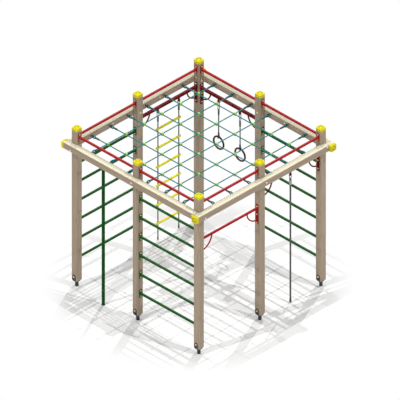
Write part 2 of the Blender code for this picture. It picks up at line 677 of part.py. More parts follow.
def plumb_rope(diameter, top, low):
    """A rope that hangs plumb between two heights, with points along it as a cord has."""
    steps = max(2, round((top - low) / (ROPE_STEP * diameter)))
    points = [(0.0, 0.0, top + (low - top) * i / steps) for i in range(steps + 1)]
    return tube(points, diameter, resolution=2)


def build_rings():
    """Each ring hangs from a lug by a shackle, then a link and a rope that are one solid."""
    pin_z = RING_BAR_Z - LUG_DROP
    sway_z = pin_z - SHACKLE_DROP + HANGER_ROD + CHAIN_GAP
    top_eye = -LINK_LENGTH + HANGER_ROD - EYE_SINK - EYE_RADIUS
    top = top_eye - EYE_RADIUS + EYE_SINK
    rope_top = top - RING_FERRULE_TOP
    rope_low = rope_top - RING_ROPE_LENGTH
    low = rope_low - RING_FERRULE_LOW
    grip_eye = RING_TUBE / 2 + GRIP_EYE_FIT + HANGER_ROD / 2
    grip_z = low + EYE_SINK - grip_eye
    ferrule = RING_FERRULE / 2
    profile = [(0.0, top), (ferrule, top), (ferrule, rope_top), (RING_ROPE / 2, rope_top),
               (RING_ROPE / 2, rope_low), (ferrule, rope_low), (ferrule, low), (0.0, low)]
    rope = united(turned(profile, ROPE_SIDES), eye_mesh(EYE_RADIUS, "XZ", top_eye), link_mesh(),
                  eye_mesh(grip_eye, "YZ", grip_z))
    ring = tube([(x, 0.0, z - RING_RADIUS) for x, z in circle(RING_RADIUS, RING_SIDES)],
                RING_TUBE, closed=True)
    shackle = shackle_mesh()
    for number, along in ((1, -RING_SPACING / 2), (2, RING_SPACING / 2)):
        middle = bay_middle(BACK, 1, 0.0) + Vector((along, 0.0, 0.0))
        for name, mesh, material, z in (
            ("ring_shackle", shackle, STEEL, pin_z),
            ("ring_rope", rope, DARK_ROPE, sway_z),
            ("gym_ring", ring, MAROON, sway_z + grip_z),
        ):
            part(f"{name}_{number}", mesh, material, middle + Vector((0.0, 0.0, z)))


def ferrule_and_eye(top_eye, ferrule, length):
    """A pressed ferrule under an eye that is round z = top_eye, and the height of its low end."""
    top = top_eye - EYE_RADIUS + EYE_SINK
    sleeve = rod(ferrule, top - length, top, EYE_SIDES)
    return united(sleeve, eye_mesh(EYE_RADIUS, "YZ", top_eye)), top - length


def build_ladder():
    """Two ropes that hang from pins on one line, and rungs bored for both ropes."""
    pin_z = LADDER_BAR_Z - LUG_DROP
    middle = bay_middle(LEFT, -1, pin_z)
    turn = LEFT * QUARTER
    top_eye = -SHACKLE_DROP + HANGER_ROD - EYE_SINK - EYE_RADIUS
    eye, rope_top = ferrule_and_eye(top_eye, LADDER_FERRULE, LADDER_FERRULE_LENGTH)
    hanger = united(shackle_mesh(), eye)
    rope = plumb_rope(LADDER_ROPE, rope_top - SEAT_GAP, HANGING_END - pin_z)
    for name, along in (("back", -LADDER_HALF), ("front", LADDER_HALF)):
        place = middle + side_turn(LEFT) @ Vector((along, 0.0, 0.0))
        part(f"ladder_hanger_{name}", hanger, STEEL, place, turn)
        part(f"ladder_rope_{name}", rope, DARK_ROPE, place, turn)
    reach = LADDER_HALF + LADDER_RUNG_OVERHANG
    room = LADDER_ROPE / 2 + SHANK_FIT
    bores = [block((along - room, -room, -LADDER_RUNG), (along + room, room, LADDER_RUNG))
             for along in (-LADDER_HALF, LADDER_HALF)]
    rung = carved(rod(LADDER_RUNG, -reach, reach, RAIL_SIDES, X_AXIS), *bores)
    for number in range(LADDER_RUNGS):
        z = LADDER_RUNG_Z + number * LADDER_RUNG_PITCH
        part(f"ladder_rung_{number + 1}", rung, RUNG_YELLOW, bay_middle(LEFT, -1, z), turn)


def build_climbing_rope():
    pin_z = ROPE_BAR_Z - LUG_DROP
    sway_z = pin_z - SHACKLE_DROP + HANGER_ROD + CHAIN_GAP
    turn = RIGHT * QUARTER
    eye, rope_top = ferrule_and_eye(-EYE_RADIUS, CLIMB_FERRULE, CLIMB_FERRULE_LENGTH)
    rope = plumb_rope(CLIMB_ROPE, rope_top - SEAT_GAP, HANGING_END - sway_z)
    part("rope_shackle", shackle_mesh(), STEEL, bay_middle(RIGHT, 1, pin_z), turn)
    part("rope_eye", eye, STEEL, bay_middle(RIGHT, 1, sway_z), turn)
    part("climbing_rope", rope, GREY_ROPE, bay_middle(RIGHT, 1, sway_z), turn)


build_posts()
build_beams()
build_rails_and_bars()
build_pole()
build_net()
build_rings()
build_ladder()
build_climbing_rope()
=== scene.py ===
# %% [markdown]
# # Dressing a timber play gym
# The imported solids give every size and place: posts, beams, bars, net, rings, ladder and rope.
# This lesson builds the look round them, piece by piece, in metres, with Z up. The ground is at
# z = 0, the front side is at -Y and the right side at +X.

import math

import bmesh
import bpy
from mathutils import Matrix, Vector


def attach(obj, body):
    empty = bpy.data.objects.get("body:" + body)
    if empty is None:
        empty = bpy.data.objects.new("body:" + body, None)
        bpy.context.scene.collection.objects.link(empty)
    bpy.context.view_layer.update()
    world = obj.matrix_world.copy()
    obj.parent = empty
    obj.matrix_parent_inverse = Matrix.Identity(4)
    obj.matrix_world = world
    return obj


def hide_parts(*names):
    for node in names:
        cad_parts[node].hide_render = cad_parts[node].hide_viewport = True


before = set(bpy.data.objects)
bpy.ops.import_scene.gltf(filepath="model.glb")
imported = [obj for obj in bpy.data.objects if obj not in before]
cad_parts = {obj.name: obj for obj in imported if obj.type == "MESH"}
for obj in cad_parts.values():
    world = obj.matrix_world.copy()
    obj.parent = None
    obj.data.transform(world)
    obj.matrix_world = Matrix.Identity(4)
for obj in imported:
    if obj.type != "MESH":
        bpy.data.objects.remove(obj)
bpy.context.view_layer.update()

# %% [markdown]
# ## Camera
# The picture is drawn without perspective: lines that are parallel on the gym stay parallel.
# An orthographic camera does that. It looks down on the corner at +X, -Y, so the front side is
# on the left of the picture and the right side on the right.

# %% Camera
AZIMUTH, ELEVATION = 45.0, 33.8
LOOK_AT = Vector((0.0107, 0.0107, 1.3576))
PICTURE_WIDTH = 5.284
CAMERA_AWAY, SEEN_TO = 12.0, 60.0


def linked(name, data):
    """A new object in the scene."""
    obj = bpy.data.objects.new(name, data)
    bpy.context.scene.collection.objects.link(obj)
    return obj


def aimed(obj, heading, height):
    """Turn a camera or lamp to look down from a heading and a height, both in degrees."""
    a, h = math.radians(heading), math.radians(height)
    away = Vector((math.sin(a) * math.cos(h), -math.cos(a) * math.cos(h), math.sin(h)))
    obj.rotation_euler = away.to_track_quat("Z", "Y").to_euler()
    return away


camera = linked("camera", bpy.data.cameras.new("camera"))
camera.data.type = "ORTHO"
camera.data.ortho_scale = PICTURE_WIDTH
camera.data.clip_end = SEEN_TO
camera.location = LOOK_AT + CAMERA_AWAY * aimed(camera, AZIMUTH, ELEVATION)
bpy.context.scene.camera = camera
print("camera at", [round(v, 2) for v in camera.location])

# %% [markdown]
# ## A way to write nodes
# The floor, the sky, every finish and every tree that sets out pieces are made of nodes. One
# helper adds a node and says what feeds it, and short ones on top of it do sums, mix colours and
# make noise in the piece's own metres, so that the grain of each finish has a real size. What is
# the same all over a finish is set on the shader itself.

# %% Node helpers
def feed(tree, node, feeds):
    """Give inputs what feeds them: a socket, a node for its first output, or a plain value."""
    for key, value in dict(feeds).items():
        socket = node.inputs[key]
        if isinstance(value, bpy.types.Node):
            value = value.outputs[0]
        if isinstance(value, bpy.types.NodeSocket):
            tree.links.new(value, socket)
        else:
            socket.default_value = (*value, 1.0) if socket.type == "RGBA" else value


def step(tree, kind, feeds=(), **settings):
    """Add a node: its settings, then what feeds its inputs."""
    node = tree.nodes.new(kind)
    for setting, value in settings.items():
        setattr(node, setting, value)
    feed(tree, node, feeds)
    return node


def calc(tree, operation, a, b=0.0):
    return step(tree, "ShaderNodeMath", {0: a, 1: b}, operation=operation)


def axes(tree, vector):
    return step(tree, "ShaderNodeSeparateXYZ", {0: vector}).outputs


def vector(tree, x=0.0, y=0.0, z=0.0):
    return step(tree, "ShaderNodeCombineXYZ", {"X": x, "Y": y, "Z": z})


def remap(tree, source, low, high, to_low, to_high, **settings):
    """A value taken from one range to another, and held inside it."""
    return step(tree, "ShaderNodeMapRange",
                {"Value": source, "From Min": low, "From Max": high, "To Min": to_low,
                 "To Max": to_high}, **settings)


def blended(tree, share, a, b, mode="MIX"):
    """Two colours mixed by a share."""
    return step(tree, "ShaderNodeMix", {"Factor": share, "A": a, "B": b}, data_type="RGBA",
                blend_type=mode).outputs["Result"]


def ramp(tree, source, *stops):
    """Colours along a value, each stop a place and a colour."""
    band = step(tree, "ShaderNodeValToRGB", {"Fac": source})
    elements = band.color_ramp.elements
    while len(elements) < len(stops):
        elements.new(0.5)
    for element, (place, colour) in zip(elements, stops):
        element.position = place
        element.color = (*colour, 1.0)
    return band


def own_place(tree):
    return step(tree, "ShaderNodeTexCoord").outputs["Object"]


def attribute(tree, name, output="Fac"):
    return step(tree, "ShaderNodeAttribute", attribute_name=name).outputs[output]


def facing_up(tree):
    """1 where the surface looks straight up, and -1 where it looks down."""
    return axes(tree, step(tree, "ShaderNodeNewGeometry").outputs["Normal"])["Z"]


def noise(tree, source, scale, detail=3.0, stretch=(1.0, 1.0, 1.0)):
    """Noise of about 1 / scale metres, drawn out along an axis whose stretch is small."""
    place = step(tree, "ShaderNodeMapping", {"Vector": source, "Scale": stretch})
    return step(tree, "ShaderNodeTexNoise", {"Vector": place, "Scale": scale, "Detail": detail})


def relief(tree, shader, source, depth, strength, under=None):
    """Height from a value, as deep as depth in metres, on top of another relief if given one."""
    feeds = {"Height": source, "Distance": depth, "Strength": strength}
    if under is not None:
        feeds["Normal"] = under
    bump = step(tree, "ShaderNodeBump", feeds)
    feed(tree, shader, {"Normal": bump})
    return bump


def tinted(colour, share):
    """A colour made darker (share below 1) or lighter, towards white."""
    if share <= 1.0:
        return tuple(channel * share for channel in colour)
    return tuple(channel + (1.0 - channel) * (share - 1.0) for channel in colour)


def new_finish(name, roughness, metallic=0.0, specular=0.5):
    """A material, its tree, and its shader with the values that are the same all over."""
    material = bpy.data.materials.new(name)
    material.use_nodes = True
    tree = material.node_tree
    shader = tree.nodes["Principled BSDF"]
    feed(tree, shader, {"Roughness": roughness, "Metallic": metallic,
                        "Specular IOR Level": specular})
    return material, tree, shader


print("helpers for nodes and finishes")

# %% [markdown]
# ## Floor and light
# The gym stands on a plain white floor under an even white sky, which gives the soft light. Four
# weak suns stand round it high up, so that each post throws several pale shadows, and none of
# them is dark. Sky and floor are white for the eye and in reflections. Away from the gym the eye
# sees the floor as bare white, of strength 1 and no more, because a brighter one would eat into
# the edges of every thin bar and rope that stands before it.

# %% Floor and light
FLOOR_HALF = 40.0
FLOOR_WHITE = (0.80, 0.80, 0.80)   # what the floor throws back at the gym
FLOOR_NEAR = (0.86, 0.86, 0.86)    # what the eye sees under the gym, where every shadow shows
NEAR, FAR = 1.7, 2.1       # from the gym's middle; the floor fades to bare white between the two
SKY_LIGHT = 0.42
SUN_WIDTH = 0.15           # degrees; it keeps the shadows' edges sharp
SUNS = (                   # heading of the light's source, its height and its strength
    (205.0, 64.0, 0.85), (107.0, 60.0, 0.95), (-13.0, 60.0, 1.00), (255.0, 66.0, 0.35),
)


def for_the_eye(tree):
    """1 for what the eye sees, straight, mirrored or through glass, and 0 for the light itself."""
    rays = step(tree, "ShaderNodeLightPath").outputs
    seen = calc(tree, "MAXIMUM", rays["Is Camera Ray"], rays["Is Glossy Ray"])
    return calc(tree, "MAXIMUM", seen, rays["Is Transmission Ray"])


plaster, tree, shader = new_finish("white_floor", 1.0, specular=0.0)
eye = for_the_eye(tree)
feed(tree, shader, {"Base Color": blended(tree, eye, FLOOR_WHITE, FLOOR_NEAR)})
away = step(tree, "ShaderNodeVectorMath", {0: own_place(tree)}, operation="LENGTH")
share = remap(tree, away.outputs["Value"], NEAR, FAR, 0.0, eye, interpolation_type="SMOOTHSTEP")
fade = step(tree, "ShaderNodeMixShader", {0: share, 1: shader,
                                          2: step(tree, "ShaderNodeEmission")})
feed(tree, tree.nodes["Material Output"], {"Surface": fade})
floor_mesh = bpy.data.meshes.new("floor")
corners = [(x * FLOOR_HALF, y * FLOOR_HALF, 0.0) for x, y in ((-1, -1), (1, -1), (1, 1), (-1, 1))]
floor_mesh.from_pydata(corners, [], [(0, 1, 2, 3)])
floor_mesh.materials.append(plaster)
linked("floor", floor_mesh)

world = bpy.data.worlds.new("sky")
bpy.context.scene.world = world
world.use_nodes = True
tree = world.node_tree
level = remap(tree, for_the_eye(tree), 0.0, 1.0, SKY_LIGHT, 1.0)
feed(tree, tree.nodes["Background"], {"Color": (1.0, 1.0, 1.0), "Strength": level})

for heading, height, strength in SUNS:
    lamp = linked("sun", bpy.data.lights.new("sun", "SUN"))
    lamp.data.energy = strength
    lamp.data.angle = math.radians(SUN_WIDTH)
    aimed(lamp, heading, height)
bpy.context.scene.view_settings.view_transform = "Standard"
print(len(SUNS), "suns, sky at", SKY_LIGHT)

# %% [markdown]
# ## Shared mesh helpers
# Most steel and plastic pieces are turned, bent or cut from plate. A turned piece is a profile
# swept round Z. A bent rod is a curve with a round bevel. A plate is a flat outline with
# thickness and rounded edges. Each helper gives back a plain mesh, which can be copied, moved
# and joined before it becomes an object.

# %% Mesh helpers
SHARP = math.radians(35.0)
WELD = 0.00001


def smooth(mesh):
    mesh.shade_smooth()
    mesh.set_sharp_from_angle(angle=SHARP)
    return mesh


def taken(obj):
    """The evaluated mesh of a helper object, which is removed."""
    graph = bpy.context.evaluated_depsgraph_get()
    mesh = bpy.data.meshes.new_from_object(obj.evaluated_get(graph))
    bpy.data.objects.remove(obj)
    return mesh


def made(bm):
    mesh = bpy.data.meshes.new("piece")
    bm.to_mesh(mesh)
    bm.free()
    return mesh


def welded(bm):
    """Merge doubles, turn every face outwards, and give back a mesh."""
    bmesh.ops.remove_doubles(bm, verts=bm.verts, dist=WELD)
    bmesh.ops.recalc_face_normals(bm, faces=bm.faces)
    return made(bm)


def stacked(bm, rings):
    """Faces between rings of points, one ring after the other; a ring of 1 point closes an end."""
    sides = max(len(ring) for ring in rings)
    for low, high in zip(rings, rings[1:]):
        for i in range(sides):
            j = (i + 1) % sides
            around = [low[i % len(low)], low[j % len(low)], high[j % len(high)],
                      high[i % len(high)]]
            bm.faces.new(list(dict.fromkeys(around)))
    return welded(bm)


def lathe(profile, sides=24):
    """Turn (radius, height) points round Z; a radius of 0 closes an end."""
    bm = bmesh.new()
    turn = math.tau / sides
    return stacked(bm, [[bm.verts.new((radius * math.cos(turn * i), radius * math.sin(turn * i),
                                       height)) for i in range(sides if radius else 1)]
                        for radius, height in profile])


def from_curve(chains, closed, dimensions="3D", widths=None, **settings):
    """A welded mesh from a curve with its own settings, along chains of points."""
    curve = bpy.data.curves.new("rod", "CURVE")
    curve.dimensions = dimensions
    for setting, value in settings.items():
        setattr(curve, setting, value)
    for chain in chains:
        spline = curve.splines.new("POLY")
        spline.points.add(len(chain) - 1)
        for i, place in enumerate(chain):
            spline.points[i].co = (*place, 1.0)
            spline.points[i].radius = widths[i] if widths else 1.0
        spline.use_cyclic_u = closed
    bm = bmesh.new()
    bm.from_mesh(taken(linked("rod", curve)))
    bpy.data.curves.remove(curve)
    return welded(bm)


def bent(points, diameter, closed=False, resolution=3, widths=None):
    """A round rod along a chain of points."""
    return from_curve([points], closed, widths=widths, bevel_depth=diameter / 2,
                      bevel_resolution=resolution, use_fill_caps=not closed)


def plate(outlines, thickness, edge=0.0):
    """A flat plate in the XY plane with rounded edges; outlines after the first are holes."""
    flat = [[(x, y, 0.0) for x, y in outline] for outline in outlines]
    return from_curve(flat, True, "2D", fill_mode="BOTH", extrude=thickness / 2 - edge,
                      bevel_depth=edge, offset=-edge, bevel_resolution=2 if edge else 0)


def arc(radius, start, end, steps, middle=(0.0, 0.0)):
    """Points on a circle from one angle to another, in degrees, both ends included."""
    angles = [math.radians(start + (end - start) * i / steps) for i in range(steps + 1)]
    return [(middle[0] + radius * math.cos(a), middle[1] + radius * math.sin(a)) for a in angles]


def rounded(width, height, corner, steps=5):
    """The outline of a rectangle with round corners."""
    x, y = width / 2 - corner, height / 2 - corner
    return [point for sx, sy, start in ((x, y, 0), (-x, y, 90), (-x, -y, 180), (x, -y, 270))
            for point in arc(corner, start, start + 90, steps, (sx, sy))]


def placed(mesh, matrix):
    copy = mesh.copy()
    copy.transform(matrix)
    return copy


def joined(*meshes):
    bm = bmesh.new()
    for mesh in meshes:
        bm.from_mesh(mesh)
    return made(bm)


def at(x=0.0, y=0.0, z=0.0):
    return Matrix.Translation((x, y, z))


QUARTER = math.pi / 2
X_AXIS = Matrix.Rotation(QUARTER, 4, "Y")       # lays a piece made along Z along X
TO_BACK = Matrix.Rotation(-QUARTER, 4, "X")     # points a piece made along Z to +Y
TO_FRONT = Matrix.Rotation(QUARTER, 4, "X")     # and to -Y; stands a plate made in XY up in XZ
ACROSS = Matrix.Rotation(QUARTER, 4, "Z") @ TO_FRONT    # stands a plate made in XY up in YZ
print("helpers for turned, bent and flat pieces")

# %% [markdown]
# ## Putting a piece on the gym
# A finished mesh becomes an object at the origin, so its place is in its mesh. It then rides on
# a body of the frame, takes its finish from one of the record's slots, and stands for the solids
# that it replaces. Most finishes have the name of their slot.


def add_piece(name, mesh, material=None, body="frame", replaced=()):
    """A piece with a finish of its own, or with the one that its tree gave it.

    model.glb has materials with the slots' names, so Blender adds a number to a finish's name.
    """
    if material is not None:
        mesh.materials.clear()
        mesh.materials.append(material)
    mesh.name = name
    piece = linked(name, mesh)
    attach(piece, body)
    if replaced:
        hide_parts(*replaced)
    return piece


def nodes_of(start):
    return [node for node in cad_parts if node.startswith(start)]


# %% [markdown]
# ## Geometry Nodes for what repeats
# The gym is made of a few pieces, each used many times: a bar, a cap, a screw's cover, a rung.
# So a tree sets out copies: it takes marks, which are loose points that each hold the turn of
# the piece that goes there, and puts the piece on every mark. A second tree makes a rope with
# its strands out of a line, and two more make the moulded covers of screws and bolts and the
# net's connectors.

# %% Tree helpers
def new_tree(name, inputs):
    """An empty tree with named inputs, given as (name, kind of socket, value), and its sizes."""
    group = bpy.data.node_groups.new(name, "GeometryNodeTree")
    for label, kind, value in (("Geometry", "Geometry", None), *inputs,
                               ("Material", "Material", None)):
        socket = group.interface.new_socket(label, in_out="INPUT", socket_type="NodeSocket" + kind)
        if value is not None:
            socket.default_value = value
    group.interface.new_socket("Geometry", in_out="OUTPUT", socket_type="NodeSocketGeometry")
    return group, group.nodes.new("NodeGroupInput").outputs


def finish_tree(group, size, geometry, shade_smooth=True):
    """Every tree ends by making its copies real and giving them their material."""
    geometry = step(group, "GeometryNodeRealizeInstances", {"Geometry": geometry})
    if shade_smooth:
        geometry = step(group, "GeometryNodeSetShadeSmooth", {"Geometry": geometry})
    geometry = step(group, "GeometryNodeSetMaterial",
                    {"Geometry": geometry, "Material": size["Material"]})
    step(group, "NodeGroupOutput", {"Geometry": geometry})
    print("tree", group.name, "with", len(group.nodes), "nodes")
    return group


def on_marks(group, points, instance):
    """An instance on every mark, with the turn that the mark holds."""
    turn = step(group, "GeometryNodeInputNamedAttribute", {"Name": "turn"},
                data_type="FLOAT_VECTOR")
    turn = step(group, "FunctionNodeEulerToRotation", {"Euler": turn.outputs["Attribute"]})
    return step(group, "GeometryNodeInstanceOnPoints",
                {"Points": points, "Instance": instance, "Rotation": turn})


def together(group, *parts):
    node = step(group, "GeometryNodeJoinGeometry")
    for part in parts:
        feed(group, node, {0: part})
    return node


def grown(mesh, group, **values):
    """Run a tree on a mesh and give back the result as a plain mesh."""
    obj = linked("source", mesh)
    modifier = obj.modifiers.new(group.name, "NODES")
    modifier.node_group = group
    for item in group.interface.items_tree:
        if item.in_out == "INPUT" and item.name in values:
            modifier[item.identifier] = values[item.name]
    return taken(obj)


print("helpers for trees")

# %% [markdown]
# ## The tree for laid rope
# A rope of this kind is strands turned round each other. Seen from outside that is a section
# with one lobe for each strand, which turns as it goes along. The tree draws a circle, pulls it
# in between the strands, and sweeps it along the line while the line's tilt grows with its
# length. Each point keeps its place round the section and along the rope, for the fibres.

# %% Rope tree
def keep(group, geometry, name, value, kind):
    return step(group, "GeometryNodeStoreNamedAttribute",
                {"Geometry": geometry, "Name": name, "Value": value}, data_type=kind)


group, size = new_tree("laid_rope", (
    ("Diameter", "Float", 0.016), ("Strands", "Int", 6), ("Points per strand", "Int", 2),
    ("Lay", "Float", 0.10), ("Step", "Float", 0.005), ("Groove", "Float", 0.13),
))
line = step(group, "GeometryNodeMeshToCurve", {"Mesh": size["Geometry"]})
line = step(group, "GeometryNodeResampleCurve", {"Curve": line, "Length": size["Step"]},
            mode="LENGTH")
along = step(group, "GeometryNodeSplineParameter").outputs["Length"]
tilt = calc(group, "MULTIPLY", calc(group, "DIVIDE", along, size["Lay"]), math.tau)
line = step(group, "GeometryNodeSetCurveTilt", {"Curve": line, "Tilt": tilt})
line = keep(group, line, "along", along, "FLOAT")

corners = calc(group, "MULTIPLY", size["Strands"], size["Points per strand"])
circle = step(group, "GeometryNodeCurvePrimitiveCircle", {"Resolution": corners, "Radius": 1.0})
number = step(group, "GeometryNodeInputIndex")
angle = calc(group, "MULTIPLY", calc(group, "DIVIDE", number, corners), math.tau)
half_waves = calc(group, "MULTIPLY", calc(group, "MULTIPLY", angle, size["Strands"]), 0.5)
lobe = calc(group, "ABSOLUTE", calc(group, "COSINE", half_waves))
cut = calc(group, "MULTIPLY", calc(group, "SUBTRACT", 1.0, lobe), size["Groove"])
radius = calc(group, "MULTIPLY", calc(group, "SUBTRACT", 1.0, cut),
              calc(group, "MULTIPLY", size["Diameter"], 0.5))
round_it = vector(group, calc(group, "COSINE", angle), calc(group, "SINE", angle))
pulled = step(group, "ShaderNodeVectorMath", {0: round_it, "Scale": radius}, operation="SCALE")
section = step(group, "GeometryNodeSetPosition", {"Geometry": circle, "Position": pulled})
section = keep(group, section, "section", round_it, "FLOAT_VECTOR")
swept = step(group, "GeometryNodeCurveToMesh",
             {"Curve": line, "Profile Curve": section, "Fill Caps": True})
ROPE_TREE = finish_tree(group, size, swept)


def laid_rope(lines, **sizes):
    """One mesh of ropes along straight lines or chains of points."""
    points, edges = [], []
    for chain in lines:
        edges += [(len(points) + i, len(points) + i + 1) for i in range(len(chain) - 1)]
        points += chain
    mesh = bpy.data.meshes.new("lines")
    mesh.from_pydata(points, edges, [])
    return grown(mesh, ROPE_TREE, **sizes)


# %% [markdown]
# ## Rope fibres
# Each strand is many thin fibres, which lie almost along the rope. The rope tree kept where
# each point is round the section and along the rope, so noise that is fine round the section
# and long along it draws the fibres, and they turn with the strands. Dirt sits in the grooves.

# %% Rope finish
WEATHERED = (0.80, 0.80, 0.78)
FIBRES = (22.0, 4.0, (1.0, 1.0, 1.6))      # scale, detail and stretch of the noise
PATCHES = (1.2, 2.0, (0.2, 0.2, 1.0))


def rope_finish(name, colour, groove_colour):
    material, tree, shader = new_finish(name, 0.9, specular=0.1)
    section = axes(tree, attribute(tree, "section", "Vector"))
    place = vector(tree, section["X"], section["Y"], attribute(tree, "along"))
    fibres = noise(tree, place, *FIBRES)
    patches = noise(tree, place, *PATCHES)
    tone = ramp(tree, fibres, (0.30, groove_colour), (0.52, colour), (0.75, tinted(colour, 1.12)))
    faded = remap(tree, patches, 0.35, 0.65, 0.0, 0.35)
    feed(tree, shader, {"Base Color": blended(tree, faded, tone, WEATHERED, "MULTIPLY")})
    relief(tree, shader, fibres, 0.0008, 0.6)
    return material


teal_rope = rope_finish("teal_rope", (0.012, 0.250, 0.240), (0.004, 0.120, 0.118))
dark_rope = rope_finish("dark_rope", (0.007, 0.022, 0.022), (0.003, 0.008, 0.009))
grey_rope = rope_finish("grey_rope", (0.110, 0.110, 0.112), (0.050, 0.050, 0.052))
print("three ropes' finishes")

# %% [markdown]
# ## Finishes that weather in patches
# Steel, moulded plastic and enamel all change over a surface in patches: a little in tone, more
# in gloss, over a fine relief of their own. Noise in the gloss does more for them than noise in
# the colour. So one function makes all three, and each kind says how its patches look.

# %% Patchy finish
def patchy(name, colour, roughness, patch, tones, dull, grain, more=None, **shine):
    """A finish whose tone and gloss change in patches.

    patch is the scale and detail of the patches' noise, tones are stops of a place and a share of
    the colour, dull is two places and what each adds to the roughness, grain is the scale and
    detail of the relief's noise with its depth and strength, and more is done to the tone last.
    """
    material, tree, shader = new_finish(name, roughness, **shine)
    place = own_place(tree)
    patches = noise(tree, place, *patch)
    tone = ramp(tree, patches, *[(stop, tinted(colour, share)) for stop, share in tones])
    if more:
        tone = more(tree, tone, colour)
    low, high, at_low, at_high = dull
    rough = remap(tree, patches, low, high, roughness + at_low, roughness + at_high)
    feed(tree, shader, {"Base Color": tone, "Roughness": rough})
    scale, detail, depth, strength = grain
    relief(tree, shader, noise(tree, place, scale, detail), depth, strength)
    return material


def steel_finish(name, colour, roughness, metallic):
    """Steel that has been out of doors: uneven tone and a dull, uneven gloss."""
    return patchy(name, colour, roughness, (38.0, 5.0), ((0.30, 0.65), (0.55, 1.0), (0.80, 1.12)),
                  (0.3, 0.8, 0.12, -0.10), (600.0, 2.0, 0.0003, 0.4), metallic=metallic)


black_steel = steel_finish("black_steel", (0.018, 0.019, 0.024), 0.50, 0.0)
dark_steel = steel_finish("dark_steel", (0.040, 0.075, 0.095), 0.45, 0.4)
grey_alloy = steel_finish("grey_alloy", (0.420, 0.430, 0.440), 0.40, 0.5)
print("three steels")

# %% [markdown]
# ## The ropes that hang free
# The climbing rope and the ladder's two side ropes hang plumb from their ferrules under their
# own weight and end just over the ground. Each is one rope of its real length. A pressed sleeve
# keeps the strands together at its lower end.

# %% Hanging ropes
LADDER_X = -1.14
LADDER_ROPES = {"back": 0.765, "front": 0.375}
LADDER_ROPE, LADDER_ROPE_TOP = 0.016, 1.8907
CLIMB_PLACE = (1.14, 0.57)
CLIMB_ROPE, CLIMB_ROPE_TOP = 0.026, 1.8777
THIN_LAY, THICK_LAY = 0.09, 0.11
ROPE_LOW = 0.012
SLEEVE_TOP, SLEEVE_WALL = 0.057, 0.0025
CORD_STEPS = 30


def hanging_rope(name, ends_in, x, y, top, diameter, body, replaced, **sizes):
    """A rope that hangs plumb from its ferrule, in the dark sleeve that is pressed on its end."""
    path = [(x, y, top + (ROPE_LOW - top) * i / CORD_STEPS) for i in range(CORD_STEPS + 1)]
    mesh = laid_rope([path], Diameter=diameter, **sizes)
    rope = add_piece(name, mesh, None, body, [replaced])
    core, outer = diameter / 2, diameter / 2 + SLEEVE_WALL
    profile = [(0.0, ROPE_LOW), (outer - 0.003, ROPE_LOW), (outer, ROPE_LOW + 0.003),
               (outer, SLEEVE_TOP - 0.004), (core - 0.0005, SLEEVE_TOP), (0.0, SLEEVE_TOP)]
    sleeve = add_piece(ends_in, smooth(placed(lathe(profile), at(x, y))), black_steel, body)
    print(name, round(top - ROPE_LOW, 3), "m,", len(rope.data.polygons), "faces")


for end, y in LADDER_ROPES.items():
    hanging_rope(f"ladder_side_rope_{end}", f"ladder_rope_end_{end}", LADDER_X, y,
                 LADDER_ROPE_TOP, LADDER_ROPE, "ladder", f"ladder_rope_{end}", Lay=THIN_LAY,
                 Material=dark_rope)
hanging_rope("climbing_rope_line", "climbing_rope_end", *CLIMB_PLACE, CLIMB_ROPE_TOP, CLIMB_ROPE,
             "rope_line", "climbing_rope", Lay=THICK_LAY, Strands=3, Groove=0.26,
             Material=grey_rope, **{"Points per strand": 6})

# %% [markdown]
# ## Laminated timber
# The posts and beams are glued from thin layers of softwood, planed and oiled. On each face one
# sees the layers as long stripes of slightly different tone with a fine dark glue line between
# them, long grain lines inside each layer, and now and then a knot. The wood is grey-brown where
# it stands upright. Faces that look up are painted nearly white, which is painted top light. A
# beam's top is painted palest along its outer third and greyer towards the net, which is painted
# shade. The pattern follows each board: every point keeps its place in its own board as an
# attribute, so the grain runs along posts and beams alike, and no two boards look the same.

# %% Timber finish
TIMBER = 0.100
LAYER = TIMBER / 3
OILED, GRAIN = (0.430, 0.340, 0.250), (0.320, 0.245, 0.175)
GLUE, KNOT = (0.200, 0.145, 0.100), (0.120, 0.070, 0.040)
# Painted top light: the colour given to faces that look up.
PAINTED_TOP_LIGHT = (0.840, 0.805, 0.610)
TOP_SHADE_TOWARD_NET, TOP_SHADE_AT_NET_EDGE = 0.87, 0.66   # painted shade: share of the painted top light left towards the net, and on that edge
PATTERN_SHIFT = 9.0            # metres, at most, between two layers' places in the pattern
FINE, SWIRL, SWIRL_LINES = 260.0, 10.0, 95.0
KNOTS, KNOTLESS = 5.0, 0.45    # knots to a metre, and the share of them that doesn't show
KNOT_SIZE = (0.030, 0.075)     # from a knot's dark heart to its rim
TOWARD_NET_SHADE_FROM, NET_EDGE_SHADE_FROM = (-0.022, -0.010), (0.030, 0.046)   # where each painted shade starts and ends, across a beam's top
GLUE_LINE = (0.0004, 0.0012)   # half a glue line, and where it has faded out


